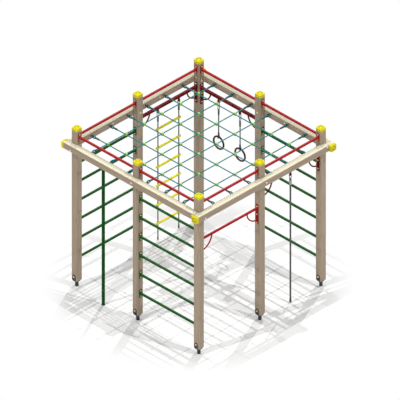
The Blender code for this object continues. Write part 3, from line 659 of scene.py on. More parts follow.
def timber_finish():
    material, tree, shader = new_finish("laminated_timber", 0.7, specular=0.25)
    board = attribute(tree, "board", "Vector")
    in_board = axes(tree, board)
    from_middle = calc(tree, "ABSOLUTE", in_board["X"])
    layer = calc(tree, "MULTIPLY", calc(tree, "SIGN", in_board["X"]),
                 calc(tree, "GREATER_THAN", from_middle, LAYER / 2))
    label = vector(tree, layer, attribute(tree, "board_number"))
    draw = step(tree, "ShaderNodeTexWhiteNoise", {"Vector": label}).outputs
    shift = step(tree, "ShaderNodeVectorMath", {0: draw["Color"], "Scale": PATTERN_SHIFT},
                 operation="SCALE")
    place = step(tree, "ShaderNodeVectorMath", {0: board, 1: shift})

    fine = noise(tree, place, FINE, 4.0, (1.0, 1.0, 0.02))
    swirl = noise(tree, place, SWIRL, 2.0, (1.0, 1.0, 0.05))
    lines = calc(tree, "SINE", calc(tree, "MULTIPLY", swirl, SWIRL_LINES))
    wood = blended(tree, remap(tree, fine, 0.42, 0.68, 0.0, 0.55), OILED, GRAIN)
    wood = blended(tree, remap(tree, lines, 0.1, 1.0, 0.0, 0.55), wood, GRAIN)
    tone = remap(tree, draw["Value"], 0.0, 1.0, 0.92, 1.08)
    wood = blended(tree, 1.0, wood, tone, "MULTIPLY")

    drawn_out = step(tree, "ShaderNodeMapping", {"Vector": place, "Scale": (1.0, 1.0, 0.45)})
    cells = step(tree, "ShaderNodeTexVoronoi", {"Vector": drawn_out, "Scale": KNOTS}).outputs
    rare = calc(tree, "GREATER_THAN", step(tree, "ShaderNodeSeparateColor", {0: cells["Color"]}),
                KNOTLESS)
    near = remap(tree, cells["Distance"], *KNOT_SIZE, 1.0, 0.0)
    wood = blended(tree, calc(tree, "MULTIPLY", near, rare), wood, KNOT)

    # Painted shade across a beam's top: greyer towards the net, darkest at that edge.
    shade_toward_net = remap(tree, in_board["Y"], *TOWARD_NET_SHADE_FROM, 0.0, 1.0)
    shade_at_net_edge = remap(tree, in_board["Y"], *NET_EDGE_SHADE_FROM, 0.0, 1.0)
    pale = blended(tree, shade_toward_net, PAINTED_TOP_LIGHT, tinted(PAINTED_TOP_LIGHT, TOP_SHADE_TOWARD_NET))
    pale = blended(tree, shade_at_net_edge, pale, tinted(PAINTED_TOP_LIGHT, TOP_SHADE_AT_NET_EDGE))
    pale = blended(tree, 0.12, pale, wood)
    # Painted top light: faces that look up take the pale colour.
    wood = blended(tree, remap(tree, facing_up(tree), 0.45, 0.95, 0.0, 1.0), wood, pale)

    off_line = calc(tree, "ABSOLUTE", calc(tree, "SUBTRACT", from_middle, LAYER / 2))
    glue = remap(tree, off_line, *GLUE_LINE, 0.75, 0.0)
    feed(tree, shader, {"Base Color": blended(tree, glue, wood, GLUE),
                        "Roughness": remap(tree, fine, 0.3, 0.7, 0.62, 0.84)})
    under = relief(tree, shader, fine, 0.0010, 0.35)
    relief(tree, shader, calc(tree, "SUBTRACT", 1.0, glue), 0.0012, 0.5, under)
    return material


laminated_timber = timber_finish()
print("timber in layers of", round(LAYER * 1000, 1), "mm")

# %% [markdown]
# ## Posts and beams
# Eight posts stand on a square of three by three places with the middle one left out. Each beam
# runs past one corner and ends against the next beam, like the vanes of a pinwheel, and is let
# into the posts by a quarter of its width. The boards are boxes with round long edges and
# slightly broken ends, and a Boolean cuts the housings in the posts.

# %% Posts and beams
SPACING = 1.140
LONG_EDGE, BROKEN_END = 0.010, 0.0015
POST_LOW, POST_TOP = 0.100, 2.500
BEAM_LINE, BEAM_Z = 1.215, 2.226
BEAM_FROM, BEAM_TO = -1.2895, 1.1647
BEAM_INNER, BEAM_OUTER = BEAM_LINE - TIMBER / 2, BEAM_LINE + TIMBER / 2
HOUSING = 0.0247           # left of a post's half width at a housing
SEAT_GAP = 0.0003
END_ANGLE = 1.0            # radians; only round a timber's ends do faces meet at more


def side_turn(side):
    """The frame repeats four times round Z; this turns the front side to another side."""
    return Matrix.Rotation(side * QUARTER, 4, "Z")


def block(low, high):
    """A box between two corners."""
    bm = bmesh.new()
    bmesh.ops.create_cube(bm, size=1.0)
    size = [b - a for a, b in zip(low, high)]
    middle = [(a + b) / 2 for a, b in zip(low, high)]
    bmesh.ops.transform(bm, matrix=at(*middle) @ Matrix.Diagonal((*size, 1.0)), verts=bm.verts)
    return bm


def combined(mesh, operation, *others):
    """A Boolean of one mesh with others."""
    obj = linked("base", mesh)
    tools = [linked("tool", other) for other in others]
    for tool in tools:
        modifier = obj.modifiers.new("shape", "BOOLEAN")
        modifier.operation = operation
        modifier.solver = "EXACT"
        modifier.object = tool
    result = taken(obj)
    for tool in tools:
        bpy.data.objects.remove(tool)
    return result


def board(low, high):
    """A timber along Z from low to high."""
    bm = block((-TIMBER / 2, -TIMBER / 2, low), (TIMBER / 2, TIMBER / 2, high))
    long_edges = [e for e in bm.edges if abs(e.verts[0].co.z - e.verts[1].co.z) > TIMBER]
    bmesh.ops.bevel(bm, geom=long_edges, offset=LONG_EDGE, segments=5, profile=0.5,
                    affect="EDGES")
    ends = [e for e in bm.edges if e.verts[0].co.z == e.verts[1].co.z
            and len(e.link_faces) == 2 and e.calc_face_angle() > END_ANGLE]
    bmesh.ops.bevel(bm, geom=ends, offset=BROKEN_END, segments=1, affect="EDGES")
    return welded(bm)


def boards_together(boards):
    """Join placed boards; each point keeps its place in its own board, and the board's number."""
    where = [vertex.co.copy() for mesh, _ in boards for vertex in mesh.vertices]
    which = [number for number, (mesh, _) in enumerate(boards) for _ in mesh.vertices]
    mesh = smooth(joined(*[placed(mesh, matrix) for mesh, matrix in boards]))
    grain = mesh.attributes.new("board", "FLOAT_VECTOR", "POINT")
    grain.data.foreach_set("vector", [value for co in where for value in co])
    label = mesh.attributes.new("board_number", "FLOAT", "POINT")
    label.data.foreach_set("value", which)
    return mesh


reach = 2 * TIMBER
low, high = BEAM_Z - TIMBER / 2 - SEAT_GAP, BEAM_Z + TIMBER / 2 + SEAT_GAP
front_cut = welded(block((-reach, -reach, low), (reach, -HOUSING, high)))
left_cut = welded(block((-reach, -reach, low), (-HOUSING, reach, high)))
corner_post = combined(board(POST_LOW, POST_TOP), "DIFFERENCE", front_cut, left_cut)
middle_post = combined(board(POST_LOW, POST_TOP), "DIFFERENCE", front_cut)
CORNERS = [side_turn(side) @ at(-SPACING, -SPACING) for side in range(4)]
MIDDLES = [side_turn(side) @ at(0.0, -SPACING) for side in range(4)]
posts = [(corner_post, place) for place in CORNERS] + [(middle_post, place) for place in MIDDLES]
beam = board(BEAM_FROM, BEAM_TO)
beams = [(beam, side_turn(side) @ at(0.0, -BEAM_LINE, BEAM_Z) @ X_AXIS) for side in range(4)]
for name, boards in (("posts", posts), ("beams", beams)):
    piece = add_piece(name, boards_together(boards), laminated_timber,
                      replaced=nodes_of(name[:-1] + "_"))
    print(name, len(piece.data.polygons), "faces for", len(boards), "solids")

# %% [markdown]
# ## Moulded plastic
# The caps and covers are injection moulded. Such plastic has one colour all through, a satin
# gloss that is dulled in patches by weather and hands, a very fine grain from the mould, and a
# little soiling in patches. Where a piece gives a point a share of painted shade, the colour gets
# darker there, and it gets darker where the surface looks down, which is painted shade too.

# %% Plastic finish
GROOVE_SHADE, UNDERSIDE_SHADE = 0.50, 0.55      # how much of a colour is left under painted shade, in a groove and underneath


def darker_below(tree, tone, colour):
    # Painted shade: the colour gets darker where the surface looks down.
    below = remap(tree, facing_up(tree), 0.1, -0.8, 0.0, 1.0)
    return blended(tree, below, tone, tinted(colour, UNDERSIDE_SHADE))


def shaded_in_groove_and_below(tree, tone, colour):
    # Painted shade where a point keeps a share of it, as in a cap's groove.
    tone = blended(tree, attribute(tree, "painted_groove_shade"), tone, tinted(colour, GROOVE_SHADE))
    return darker_below(tree, tone, colour)


def plastic_finish(name, colour, roughness, worn=0.88):
    return patchy(name, colour, roughness, (30.0, 4.0), ((0.32, worn), (0.58, 1.0)),
                  (0.3, 0.7, 0.14, -0.06), (900.0, 2.0, 0.0002, 0.35), shaded_in_groove_and_below, specular=0.2)


yellow_plastic = plastic_finish("yellow_plastic", (0.780, 0.690, 0.006), 0.42)
pale_plastic = plastic_finish("pale_plastic", (0.980, 0.850, 0.500), 0.45)
lime_plastic = plastic_finish("lime_plastic", (0.420, 0.700, 0.090), 0.42)
rung_plastic = plastic_finish("rung_plastic", (0.760, 0.730, 0.020), 0.50, 0.93)
maroon_grip = plastic_finish("maroon_grip", (0.060, 0.006, 0.008), 0.46, 0.6)
print("five plastics")

# %% [markdown]
# ## Copies on marks
# The tree for copies is short: it reads the turn that each mark holds, puts the pattern piece
# there, and makes the copies real. The pattern is an object that only the tree uses, and it is
# removed when the copies are a mesh.

# %% Copies tree
group, size = new_tree("copies_on_marks", (("Pattern", "Object", None),))
pattern = step(group, "GeometryNodeObjectInfo", {"Object": size["Pattern"]})
set_out = on_marks(group, size["Geometry"], pattern.outputs["Geometry"])
COPIES_TREE = finish_tree(group, size, set_out, shade_smooth=False)


def marks(places):
    """Loose points, each with the turn of the piece that goes there."""
    mesh = bpy.data.meshes.new("marks")
    mesh.from_pydata([place.to_translation() for place in places], [], [])
    turn = mesh.attributes.new("turn", "FLOAT_VECTOR", "POINT")
    for item, place in zip(turn.data, places):
        item.vector = place.to_euler()
    return mesh


def add_copies(name, pattern_mesh, places, material, body="frame", replaced=()):
    """One piece with the pattern at each place."""
    pattern = linked("pattern", smooth(pattern_mesh))
    mesh = grown(marks(places), COPIES_TREE, Pattern=pattern, Material=material)
    bpy.data.objects.remove(pattern)
    piece = add_piece(name, mesh, None, body, replaced)
    print(name, "has", len(places), "copies and", len(piece.data.polygons), "faces")


# %% [markdown]
# ## Caps on the timbers' ends
# A yellow cap closes the top of every post and the free end of every beam. Its skirt is a square
# with round corners, and the face above it gets rounder and draws in. A round groove runs in the
# face, with a low dome in its middle, and painted shade darkens it. The cap is a stack of outlines
# joined by faces, from the square skirt to the circles of the groove and the dome. Each point
# keeps a share of painted shade, which the finish mixes in.

# %% Timber caps
CAP_SKIRT, CAP_GAP = 0.024, 0.0005     # how far it comes down a post, and its play on a beam
CAP_CORNER_STEPS = 8
CAP_OUTLINES = (           # width, corner radius, height, share of painted shade
    (0.104, 0.0150, 0.000, 0.0), (0.104, 0.0150, 0.0245, 0.0), (0.104, 0.019, 0.032, 0.0),
    (0.1015, 0.024, 0.038, 0.0), (0.0965, 0.029, 0.0412, 0.0), (0.0900, 0.034, 0.0420, 0.0),
    (0.0800, 0.0400, 0.0420, 0.0), (0.0700, 0.0350, 0.0412, 0.2), (0.0640, 0.0320, 0.0375, 1.0),
    (0.0580, 0.0290, 0.0362, 1.0), (0.0500, 0.0250, 0.0370, 0.6), (0.0400, 0.0200, 0.0395, 0.1),
    (0.0280, 0.0140, 0.0412, 0.0), (0.0140, 0.0070, 0.0418, 0.0),
)


def cap_pattern():
    bm = bmesh.new()
    # Each point keeps a share of painted shade, highest in the groove.
    painted_groove_shade = bm.verts.layers.float.new("painted_groove_shade")
    rings = []
    for width, corner, z, groove_shade_share in CAP_OUTLINES:
        outline = rounded(width, width, corner, CAP_CORNER_STEPS)
        rings.append([bm.verts.new((x, y, z)) for x, y in outline])
        for vertex in rings[-1]:
            vertex[painted_groove_shade] = groove_shade_share
    bm.faces.new(reversed(rings[0]))
    bm.faces.new(rings[-1])
    return stacked(bm, rings)


cap_places = [place @ at(z=POST_TOP - CAP_SKIRT) for place in CORNERS + MIDDLES]
beam_end = at(-BEAM_OUTER - CAP_GAP, -BEAM_LINE, BEAM_Z) @ X_AXIS.inverted()
cap_places += [side_turn(side) @ beam_end for side in range(4)]
add_copies("timber_caps", cap_pattern(), cap_places, yellow_plastic)

# %% [markdown]
# ## Ground anchors
# Under each post stands a black steel anchor: a strap bent to a cradle round the post's foot,
# bolted through it, and welded on a round leg that goes down to the ground. The strap is a
# section drawn as a flat outline and cut to its rounded tabs; the leg is turned with its weld.

# %% Ground anchors
TAB_TOP, TAB_HALF, STRAP = 0.190, 0.030, 0.005
CRADLE_HALF, TAB_FROM = 0.05, POST_LOW + 0.012
LEG, STRAP_LOW, STRAP_RISE, STRAP_BEND = 0.048, 0.072, 0.094, 0.004
ANCHOR_BOLT_Z = 0.160


def anchor_pattern():
    inner, outer, low = TIMBER / 2 + SEAT_GAP, TIMBER / 2 + STRAP, STRAP_LOW
    flat, r = LEG / 2 + STRAP, LEG / 2
    half = [(flat, low), (flat + STRAP_BEND, low + 0.001), (outer - STRAP_BEND, STRAP_RISE - 0.004),
            (outer, STRAP_RISE), (outer, TAB_TOP), (inner, TAB_TOP), (inner, POST_LOW - SEAT_GAP)]
    strap = placed(plate([half + [(-y, z) for y, z in reversed(half)]], 2 * TAB_HALF), ACROSS)
    tab = [(-CRADLE_HALF, 0.0), (CRADLE_HALF, 0.0), (CRADLE_HALF, POST_LOW), (TAB_HALF, TAB_FROM)]
    tab += arc(TAB_HALF - 0.0002, 0.0, 180.0, 20, (0.0, TAB_TOP - TAB_HALF))
    tab += [(-TAB_HALF, TAB_FROM), (-CRADLE_HALF, POST_LOW)]
    strap = combined(strap, "INTERSECT", placed(plate([tab], 4 * TIMBER), TO_FRONT))
    leg = lathe([(0.0, 0.0), (r - 0.001, 0.0), (r, 0.001), (r, low - 0.007),
                 (r + 0.0015, low - 0.003), (r + 0.005, low + 0.001), (0.0, low + 0.001)], 28)
    return joined(strap, leg)


post_places = [at(*place.to_translation()) for place in CORNERS + MIDDLES]
add_copies("ground_anchors", anchor_pattern(), post_places, black_steel)

# %% [markdown]
# ## Enamelled tubes and bars
# Rails, bars and pole are steel tubes under a thick coat of powder enamel: red for the rails,
# a darker red for the three bars that carry ropes, green for the wall bars and the pole. The
# coat has a slight orange-peel relief and is dulled where hands and feet wear it. The top of
# every bar is painted a little paler, which is painted highlight, and its underside darker,
# which is painted shade.

# %% Enamel finish
TOP_HIGHLIGHT = 1.05               # painted highlight on top of a bar; the share above 1 is white


def top_highlight_and_shade(tree, tone, colour):
    # Painted highlight on faces that look up, then painted shade below.
    highlight_share = remap(tree, facing_up(tree), 0.60, 1.0, 0.0, 1.0)
    return darker_below(tree, blended(tree, highlight_share, tone, tinted(colour, TOP_HIGHLIGHT)), colour)


def enamel_finish(name, colour):
    return patchy(name, colour, 0.42, (14.0, 5.0), ((0.30, 0.82), (0.55, 1.0), (0.78, 1.04)),
                  (0.35, 0.75, -0.06, 0.14), (420.0, 1.0, 0.0003, 0.3), top_highlight_and_shade, specular=0.05)


red_enamel = enamel_finish("red_enamel", (0.385, 0.006, 0.009))
dark_red_enamel = enamel_finish("dark_red_enamel", (0.160, 0.001, 0.003))
green_enamel = enamel_finish("green_enamel", (0.0005, 0.088, 0.003))
print("three enamels")

# %% [markdown]
# ## One bar
# Every rail and bar is made in the same way: a tube with a plate welded to each end, screwed to
# the sides of two posts. The heavy bars and the pull-up bar have longer plates and a bent rod in
# each corner, and three of them carry lugs for the things that hang. The bar is turned with its
# weld at both ends, the plates are flat outlines with round corners, and the rods are bent.

# %% Bar shapes
BAY = SPACING - TIMBER
PLATE_WIDTH, PLATE_THICKNESS, PLATE_CORNER = 0.048, 0.006, 0.009
INSIDE = BAY / 2 - SEAT_GAP - PLATE_THICKNESS
LUG_DROP, LUG_RADIUS, LUG_THICKNESS, PIN_HOLE = 0.068, 0.018, 0.008, 0.007
GUSSET_ROD = 0.020
FRONT, RIGHT, BACK, LEFT = range(4)
covers = []                # places of the screws' covers on the end plates


def bar_shape(diameter, low, high, gusset=0.0, lugs=()):
    r = diameter / 2
    half = [(r, INSIDE - 0.007), (r + 0.0008, INSIDE - 0.0045), (r + 0.0022, INSIDE - 0.002),
            (r + 0.0040, INSIDE - 0.0005), (r + 0.0042, INSIDE + 0.001), (0.0, INSIDE + 0.001)]
    pieces = [placed(lathe([(a, -z) for a, z in reversed(half)] + half, 28), X_AXIS)]
    end_plate = plate([rounded(PLATE_WIDTH, high - low, PLATE_CORNER)], PLATE_THICKNESS, 0.001)
    bend = arc(gusset, 180.0, 270.0, 14, (INSIDE, 0.0)) + [(INSIDE + 0.003, -gusset)]
    for end in (-1, 1):
        pieces.append(placed(end_plate, at(end * (INSIDE + PLATE_THICKNESS / 2),
                                           z=(low + high) / 2) @ ACROSS))
        if gusset:
            pieces.append(bent([(end * x, 0.0, z) for x, z in bend], GUSSET_ROD))
    edge = [(LUG_RADIUS, 0.0), (-LUG_RADIUS, 0.0)]
    edge += arc(LUG_RADIUS, 180.0, 360.0, 18, (0.0, -LUG_DROP))
    hole = arc(PIN_HOLE, 0.0, 360.0, 20, (0.0, -LUG_DROP))[:-1]
    for along in lugs:
        pieces.append(placed(plate([edge, hole], LUG_THICKNESS, 0.0008), at(along) @ ACROSS))
    return joined(*pieces)


def in_bay(side, half, z):
    """Where a bar goes: the middle of the first (half -1) or second (half 1) bay of a side."""
    return side_turn(side) @ at(half * SPACING / 2, -SPACING, z)


def cover_marks(place, rises):
    """Marks for the covers on both end plates of a bar."""
    for end in (-1, 1):
        for rise in rises:
            covers.append(place @ at(end * INSIDE, 0.0, rise)
                          @ Matrix.Rotation(-end * QUARTER, 4, "Y"))


print("a bay is", round(BAY, 3), "m wide")

# %% [markdown]
# ## Where the bars go
# Twenty-six bars have the same shape, so it is made once, and the copies tree sets it out, in red
# where the rails go and in green for the wall bars. The four long bars differ in their plates,
# rods and lugs, so each of them is made from its own row of sizes.

# %% Guard rails and wall bars
RAIL, RAIL_Z = 0.037, 2.380
WALL_BAR_Z, RUNG_Z, PITCH = 0.438, 0.270, 0.300
SHORT_PLATE, SHORT_SCREWS = (-0.060, 0.060), (0.040, -0.040)
rail_places = [in_bay(side, half, RAIL_Z) for side in range(4) for half in (-1, 1)]
wall_places = [in_bay(side, half, WALL_BAR_Z + PITCH * number)
               for side, half in ((FRONT, 1), (BACK, -1), (LEFT, 1)) for number in range(6)]
short_bar = bar_shape(RAIL, *SHORT_PLATE)
add_copies("guard_rails", short_bar, rail_places, red_enamel, replaced=nodes_of("guard_rails_"))
add_copies("wall_bars", short_bar, wall_places, green_enamel, replaced=nodes_of("wall_bar_"))
for place in rail_places + wall_places:
    cover_marks(place, SHORT_SCREWS)

# %% Bars that carry ropes, and the pull-up bar
RING_HALF, LADDER_HALF = 0.200, 0.195
THICK, THICK_GUSSET, THICK_PLATE = 0.052, 0.165, (-0.252, 0.072)
THICK_SCREWS = (0.050, -0.082, -0.215)
PULL_PLATE, PULL_SCREWS, PULL_GUSSET = (-0.246, 0.064), (0.030, -0.093, -0.228), 0.185
thick = (THICK, THICK_PLATE, THICK_GUSSET, THICK_SCREWS, dark_red_enamel)
thin = (RAIL, PULL_PLATE, PULL_GUSSET, PULL_SCREWS, red_enamel)
for name, side, half, z, lugs, (diameter, ends, gusset, screws, enamel) in (
    ("ladder_bar", LEFT, -1, 2.107, (-LADDER_HALF, LADDER_HALF), thick),
    ("ring_bar", BACK, 1, 2.085, (-RING_HALF, RING_HALF), thick),
    ("rope_bar", RIGHT, 1, 2.100, (0.0,), thick),
    ("pull_up_bar", RIGHT, -1, 1.793, (), thin),
):
    place = in_bay(side, half, z)
    mesh = placed(bar_shape(diameter, *ends, gusset, lugs), place)
    add_piece(f"{name}_tube", smooth(mesh), enamel, replaced=[name])
    cover_marks(place, screws)
print(len(covers), "screw covers so far")

# %% [markdown]
# ## Sliding pole
# A long green tube stands on the ground and ends in the underside of the front beam. It is one
# turned shape with a foot ring, which a pole set in the ground has where it meets the surface.

# %% Sliding pole
POLE, POLE_TOP = 0.045, 2.211
r = POLE / 2
profile = [(0.0, 0.0), (r + 0.005, 0.0), (r + 0.005, 0.004), (r + 0.002, 0.008), (r, 0.010),
           (r, POLE_TOP - 0.002), (r - 0.002, POLE_TOP), (0.0, POLE_TOP)]
mesh = smooth(placed(lathe(profile, 36), at(-SPACING / 2, -BEAM_LINE)))
add_piece("pole_tube", mesh, green_enamel, replaced=["sliding_pole"])
print("pole", POLE_TOP, "m high")

# %% [markdown]
# ## Covers on bolts and screws
# Bolts and screws end under plastic covers, so that no hand meets steel: a thin round flange and
# a dome. A tree makes one cover from its sizes and puts it on every mark. The dome is a sphere
# whose lower half is pressed flat. The bolts' covers are larger than the screws'.

# %% Covers tree
LIP = 0.46                 # a flange's radius at its top, as a share of its diameter
group, size = new_tree("moulded_covers", (
    ("Diameter", "Float", 0.022), ("Dome", "Float", 0.015), ("Flange", "Float", 0.003),
    ("Rise", "Float", 0.008), ("Sides", "Int", 16),
))
flange = step(group, "GeometryNodeMeshCone",
              {"Vertices": size["Sides"], "Depth": size["Flange"],
               "Radius Bottom": calc(group, "MULTIPLY", size["Diameter"], 0.5),
               "Radius Top": calc(group, "MULTIPLY", size["Diameter"], LIP)})
ball = step(group, "GeometryNodeMeshUVSphere", {"Segments": size["Sides"], "Rings": 8,
                                                "Radius": 1.0})
spot = axes(group, step(group, "GeometryNodeInputPosition"))
half = calc(group, "MULTIPLY", size["Dome"], 0.5)
tall = calc(group, "SUBTRACT", size["Rise"], size["Flange"])
pressed = calc(group, "MULTIPLY", calc(group, "MAXIMUM", spot["Z"], 0.0), tall)
shape = vector(group, calc(group, "MULTIPLY", spot["X"], half),
               calc(group, "MULTIPLY", spot["Y"], half),
               calc(group, "ADD", pressed, size["Flange"]))
dome = step(group, "GeometryNodeSetPosition", {"Geometry": ball, "Position": shape})
set_out = on_marks(group, size["Geometry"], together(group, flange, dome))
COVERS_TREE = finish_tree(group, size, set_out)

# %% Screw and bolt covers
BEAM_SCREW_X, BEAM_SCREW_RISE = 0.440, 0.006
BOLT_RISE = 0.026          # the bolts at a beam's two ends stand this much below and above it
for side in range(4):
    for along in (-BEAM_SCREW_X, BEAM_SCREW_X):
        covers.append(side_turn(side) @ at(along, -BEAM_INNER, BEAM_Z + BEAM_SCREW_RISE) @ TO_BACK)
bolts = []
for side in range(4):
    for along, rise in ((-SPACING, -BOLT_RISE), (0.0, 0.0), (SPACING, BOLT_RISE)):
        for out, turn in ((-BEAM_OUTER, TO_FRONT), (-SPACING + TIMBER / 2, TO_BACK)):
            bolts.append(side_turn(side) @ at(along, out, BEAM_Z + rise) @ turn)
anchor_bolts = []
for place in post_places:
    for end, turn in ((-1, TO_FRONT), (1, TO_BACK)):
        anchor_bolts.append(place @ at(0.0, end * (TIMBER / 2 + STRAP), ANCHOR_BOLT_Z) @ turn)
for name, places, sizes in (
    ("screw_covers", covers, {}),
    ("bolt_covers", bolts, {"Diameter": 0.030, "Dome": 0.022, "Flange": 0.004, "Rise": 0.011,
                            "Sides": 20}),
    ("anchor_bolt_covers", anchor_bolts, {"Diameter": 0.026, "Dome": 0.019, "Flange": 0.003,
                                          "Rise": 0.010, "Sides": 20}),
):
    add_piece(name, smooth(grown(marks(places), COVERS_TREE, Material=pale_plastic, **sizes)))
    print(len(places), name.replace("_", " "))

# %% [markdown]
# ## Roof net
# Twelve ropes, six each way, lie in two layers. Where two cross, a moulded connector holds them:
# a sleeve on each rope and a block between. At its end each rope turns back in a long upright
# loop round a thimble, so a loop is a second line of the same rope, whose ends meet in a ferrule.

# %% Net ropes
NET_ROPES, NET_PITCH, NET_ROPE = 6, 0.339, 0.016
NET_LINES = [(number - (NET_ROPES - 1) / 2) * NET_PITCH for number in range(NET_ROPES)]
UPPER, LOWER = 2.2535, 2.2345
ROPE_HALF = 1.046
LOOP_MIDDLE, LOOP_RADIUS, LOOP_TIP = 1.1185, 0.021, 1.052
TANGENT = 109.3            # degrees; where the straight sides of a loop leave its bend
bend = arc(LOOP_RADIUS, -TANGENT, TANGENT, 16, (LOOP_MIDDLE, 0.0))
loop = [(LOOP_TIP, -0.002)] + bend + [(LOOP_TIP, 0.002)]

for name, height, turn, replaced in (("net_ropes_across", LOWER, 0, ["roof_net"]),
                                     ("net_ropes_along", UPPER, 1, ())):
    chains = [[(-ROPE_HALF, line, height), (ROPE_HALF, line, height)] for line in NET_LINES]
    chains += [[(end * out, line, height + z) for out, z in loop]
               for line in NET_LINES for end in (-1, 1)]
    mesh = laid_rope(chains, Diameter=NET_ROPE, Material=teal_rope)
    mesh.transform(side_turn(turn))
    add_piece(name, mesh, replaced=replaced)
    print(name, len(mesh.polygons), "faces")

# %% [markdown]
# ## The net's connectors
# A connector could be turned and copied like a bar. Here a tree makes it and sets it out on a
# grid of points, so that it follows the net's pitch by itself. Its two sleeves and its block are
# spheres, stretched and then held back to an even width and flat ends, which leaves soft edges.

# %% Net connectors tree
BULGE = 1.3                # how much a sphere is stretched outwards before it is held back
group, size = new_tree("net_connectors", (
    ("Ropes", "Int", NET_ROPES), ("Pitch", "Float", NET_PITCH),
    ("Between layers", "Float", UPPER - LOWER), ("Sleeve", "Float", 0.023),
    ("Width", "Float", 0.040), ("Block", "Float", 0.032),
))
net_width = calc(group, "MULTIPLY", size["Pitch"], calc(group, "SUBTRACT", size["Ropes"], 1.0))
crossings = step(group, "GeometryNodeMeshGrid",
                 {"Size X": net_width, "Size Y": net_width,
                  "Vertices X": size["Ropes"], "Vertices Y": size["Ropes"]})


def barrel(width, length):
    """A sphere stretched to a short cylinder with flat ends and well rounded edges."""
    ball = step(group, "GeometryNodeMeshUVSphere", {"Segments": 20, "Rings": 12, "Radius": 1.0})
    spot = axes(group, step(group, "GeometryNodeInputPosition"))
    flat = vector(group, spot["X"], spot["Y"])
    away = step(group, "ShaderNodeVectorMath", {0: flat}, operation="LENGTH").outputs["Value"]
    wider = calc(group, "MINIMUM", BULGE, calc(group, "DIVIDE", 1.0, away))
    wider = calc(group, "MULTIPLY", wider, calc(group, "MULTIPLY", width, 0.5))
    round_it = step(group, "ShaderNodeVectorMath", {0: flat, "Scale": wider}, operation="SCALE")
    high = calc(group, "MULTIPLY", spot["Z"], BULGE)
    high = calc(group, "MAXIMUM", calc(group, "MINIMUM", high, 1.0), -1.0)
    high = calc(group, "MULTIPLY", high, calc(group, "MULTIPLY", length, 0.5))
    place = step(group, "ShaderNodeVectorMath", {0: round_it, 1: vector(group, z=high)})
    return step(group, "GeometryNodeSetPosition", {"Geometry": ball, "Position": place})


tube = barrel(size["Sleeve"], size["Width"])
rise = calc(group, "MULTIPLY", size["Between layers"], 0.5)
sleeves = [step(group, "GeometryNodeTransform",
                {"Geometry": tube, "Rotation": turn,
                 "Translation": vector(group, z=calc(group, "MULTIPLY", rise, way))})
           for way, turn in ((1.0, (0.0, QUARTER, 0.0)), (-1.0, (QUARTER, 0.0, 0.0)))]
body = barrel(size["Block"], calc(group, "ADD", size["Between layers"], size["Sleeve"]))
net_copies = step(group, "GeometryNodeInstanceOnPoints",
                  {"Points": crossings, "Instance": together(group, *sleeves, body)})
finish_tree(group, size, net_copies)

mesh = grown(bpy.data.meshes.new("net"), group, Material=lime_plastic)
mesh.transform(at(z=(UPPER + LOWER) / 2))
add_piece("net_connectors", smooth(mesh))
print(NET_ROPES ** 2, "connectors,", len(mesh.polygons), "faces")

# %% [markdown]
# ## The net's end fittings
# A steel ferrule with a tapered mouth is pressed over each rope and both ends of its loop. In
# the loop lies a thimble, and both go through a flat-lying eye of rod, which is welded to its
# round plate on the beam. The ferrule and the plate are turned, thimble and eye are bent rod.

# %% Net ends
EYE_ROD, EYE_RADIUS, EYE_OUT = 0.008, 0.016, 1.137
FERRULE_FROM, FERRULE_TO = 1.008, 1.064
THIMBLE_ROD, THIMBLE_RADIUS, THIMBLE_TIP = 0.005, 0.0105, 1.080

ferrule = lathe([(0.0, FERRULE_FROM), (0.0086, FERRULE_FROM), (0.0105, FERRULE_FROM + 0.004),
                 (0.0130, FERRULE_FROM + 0.010), (0.0130, FERRULE_TO - 0.006),
                 (0.0115, FERRULE_TO), (0.0, FERRULE_TO)])
bend = arc(THIMBLE_RADIUS, -TANGENT, TANGENT, 16, (LOOP_MIDDLE, 0.0)) + [(THIMBLE_TIP, 0.0)]
thimble = bent([(0.0, -out, z) for out, z in bend], THIMBLE_ROD, True)
ring = [(x, y, 0.0) for x, y in arc(EYE_RADIUS, 0.0, 360.0, 28, (0.0, -EYE_OUT))[:-1]]
neck = lathe([(0.0, 0.0), (0.0120, 0.0), (0.0120, 0.0022), (0.0110, 0.0030), (0.0065, 0.0040),
              (0.0050, 0.0060), (0.0050, 0.0105), (0.0, 0.0105)])
eye_plate = joined(bent(ring, EYE_ROD, True), placed(neck, at(y=-BEAM_INNER) @ TO_BACK))
net_ends = [side_turn(side) @ at(line, 0.0, UPPER if side in (FRONT, BACK) else LOWER)
            for side in range(4) for line in NET_LINES]
for name, pattern in (("net_ferrules", placed(ferrule, TO_FRONT)), ("net_thimbles", thimble),
                      ("net_eye_plates", eye_plate)):
    add_copies(name, pattern, net_ends, dark_steel)

# %% [markdown]
# ## Shackles, links and eyes
# Everything that swings hangs from a lug by a bow shackle: a bent rod with a pin through its
# ends, which turns in the lug. A link or an eye hangs in the bow. All of it is rod, bent along
# arcs, so one helper and a few chains of points make it.

# %% Hanging hardware
ROD = 0.010
SHACKLE_HALF, SHACKLE_DROP = 0.016, 0.070
LINK_HALF, LINK_LENGTH = 0.014, 0.072
HANG_EYE = 0.014
SLEEVE_DIAMETER, PRESSED = 0.026, (0.25, 0.5, 0.75)    # where the press closed a ferrule


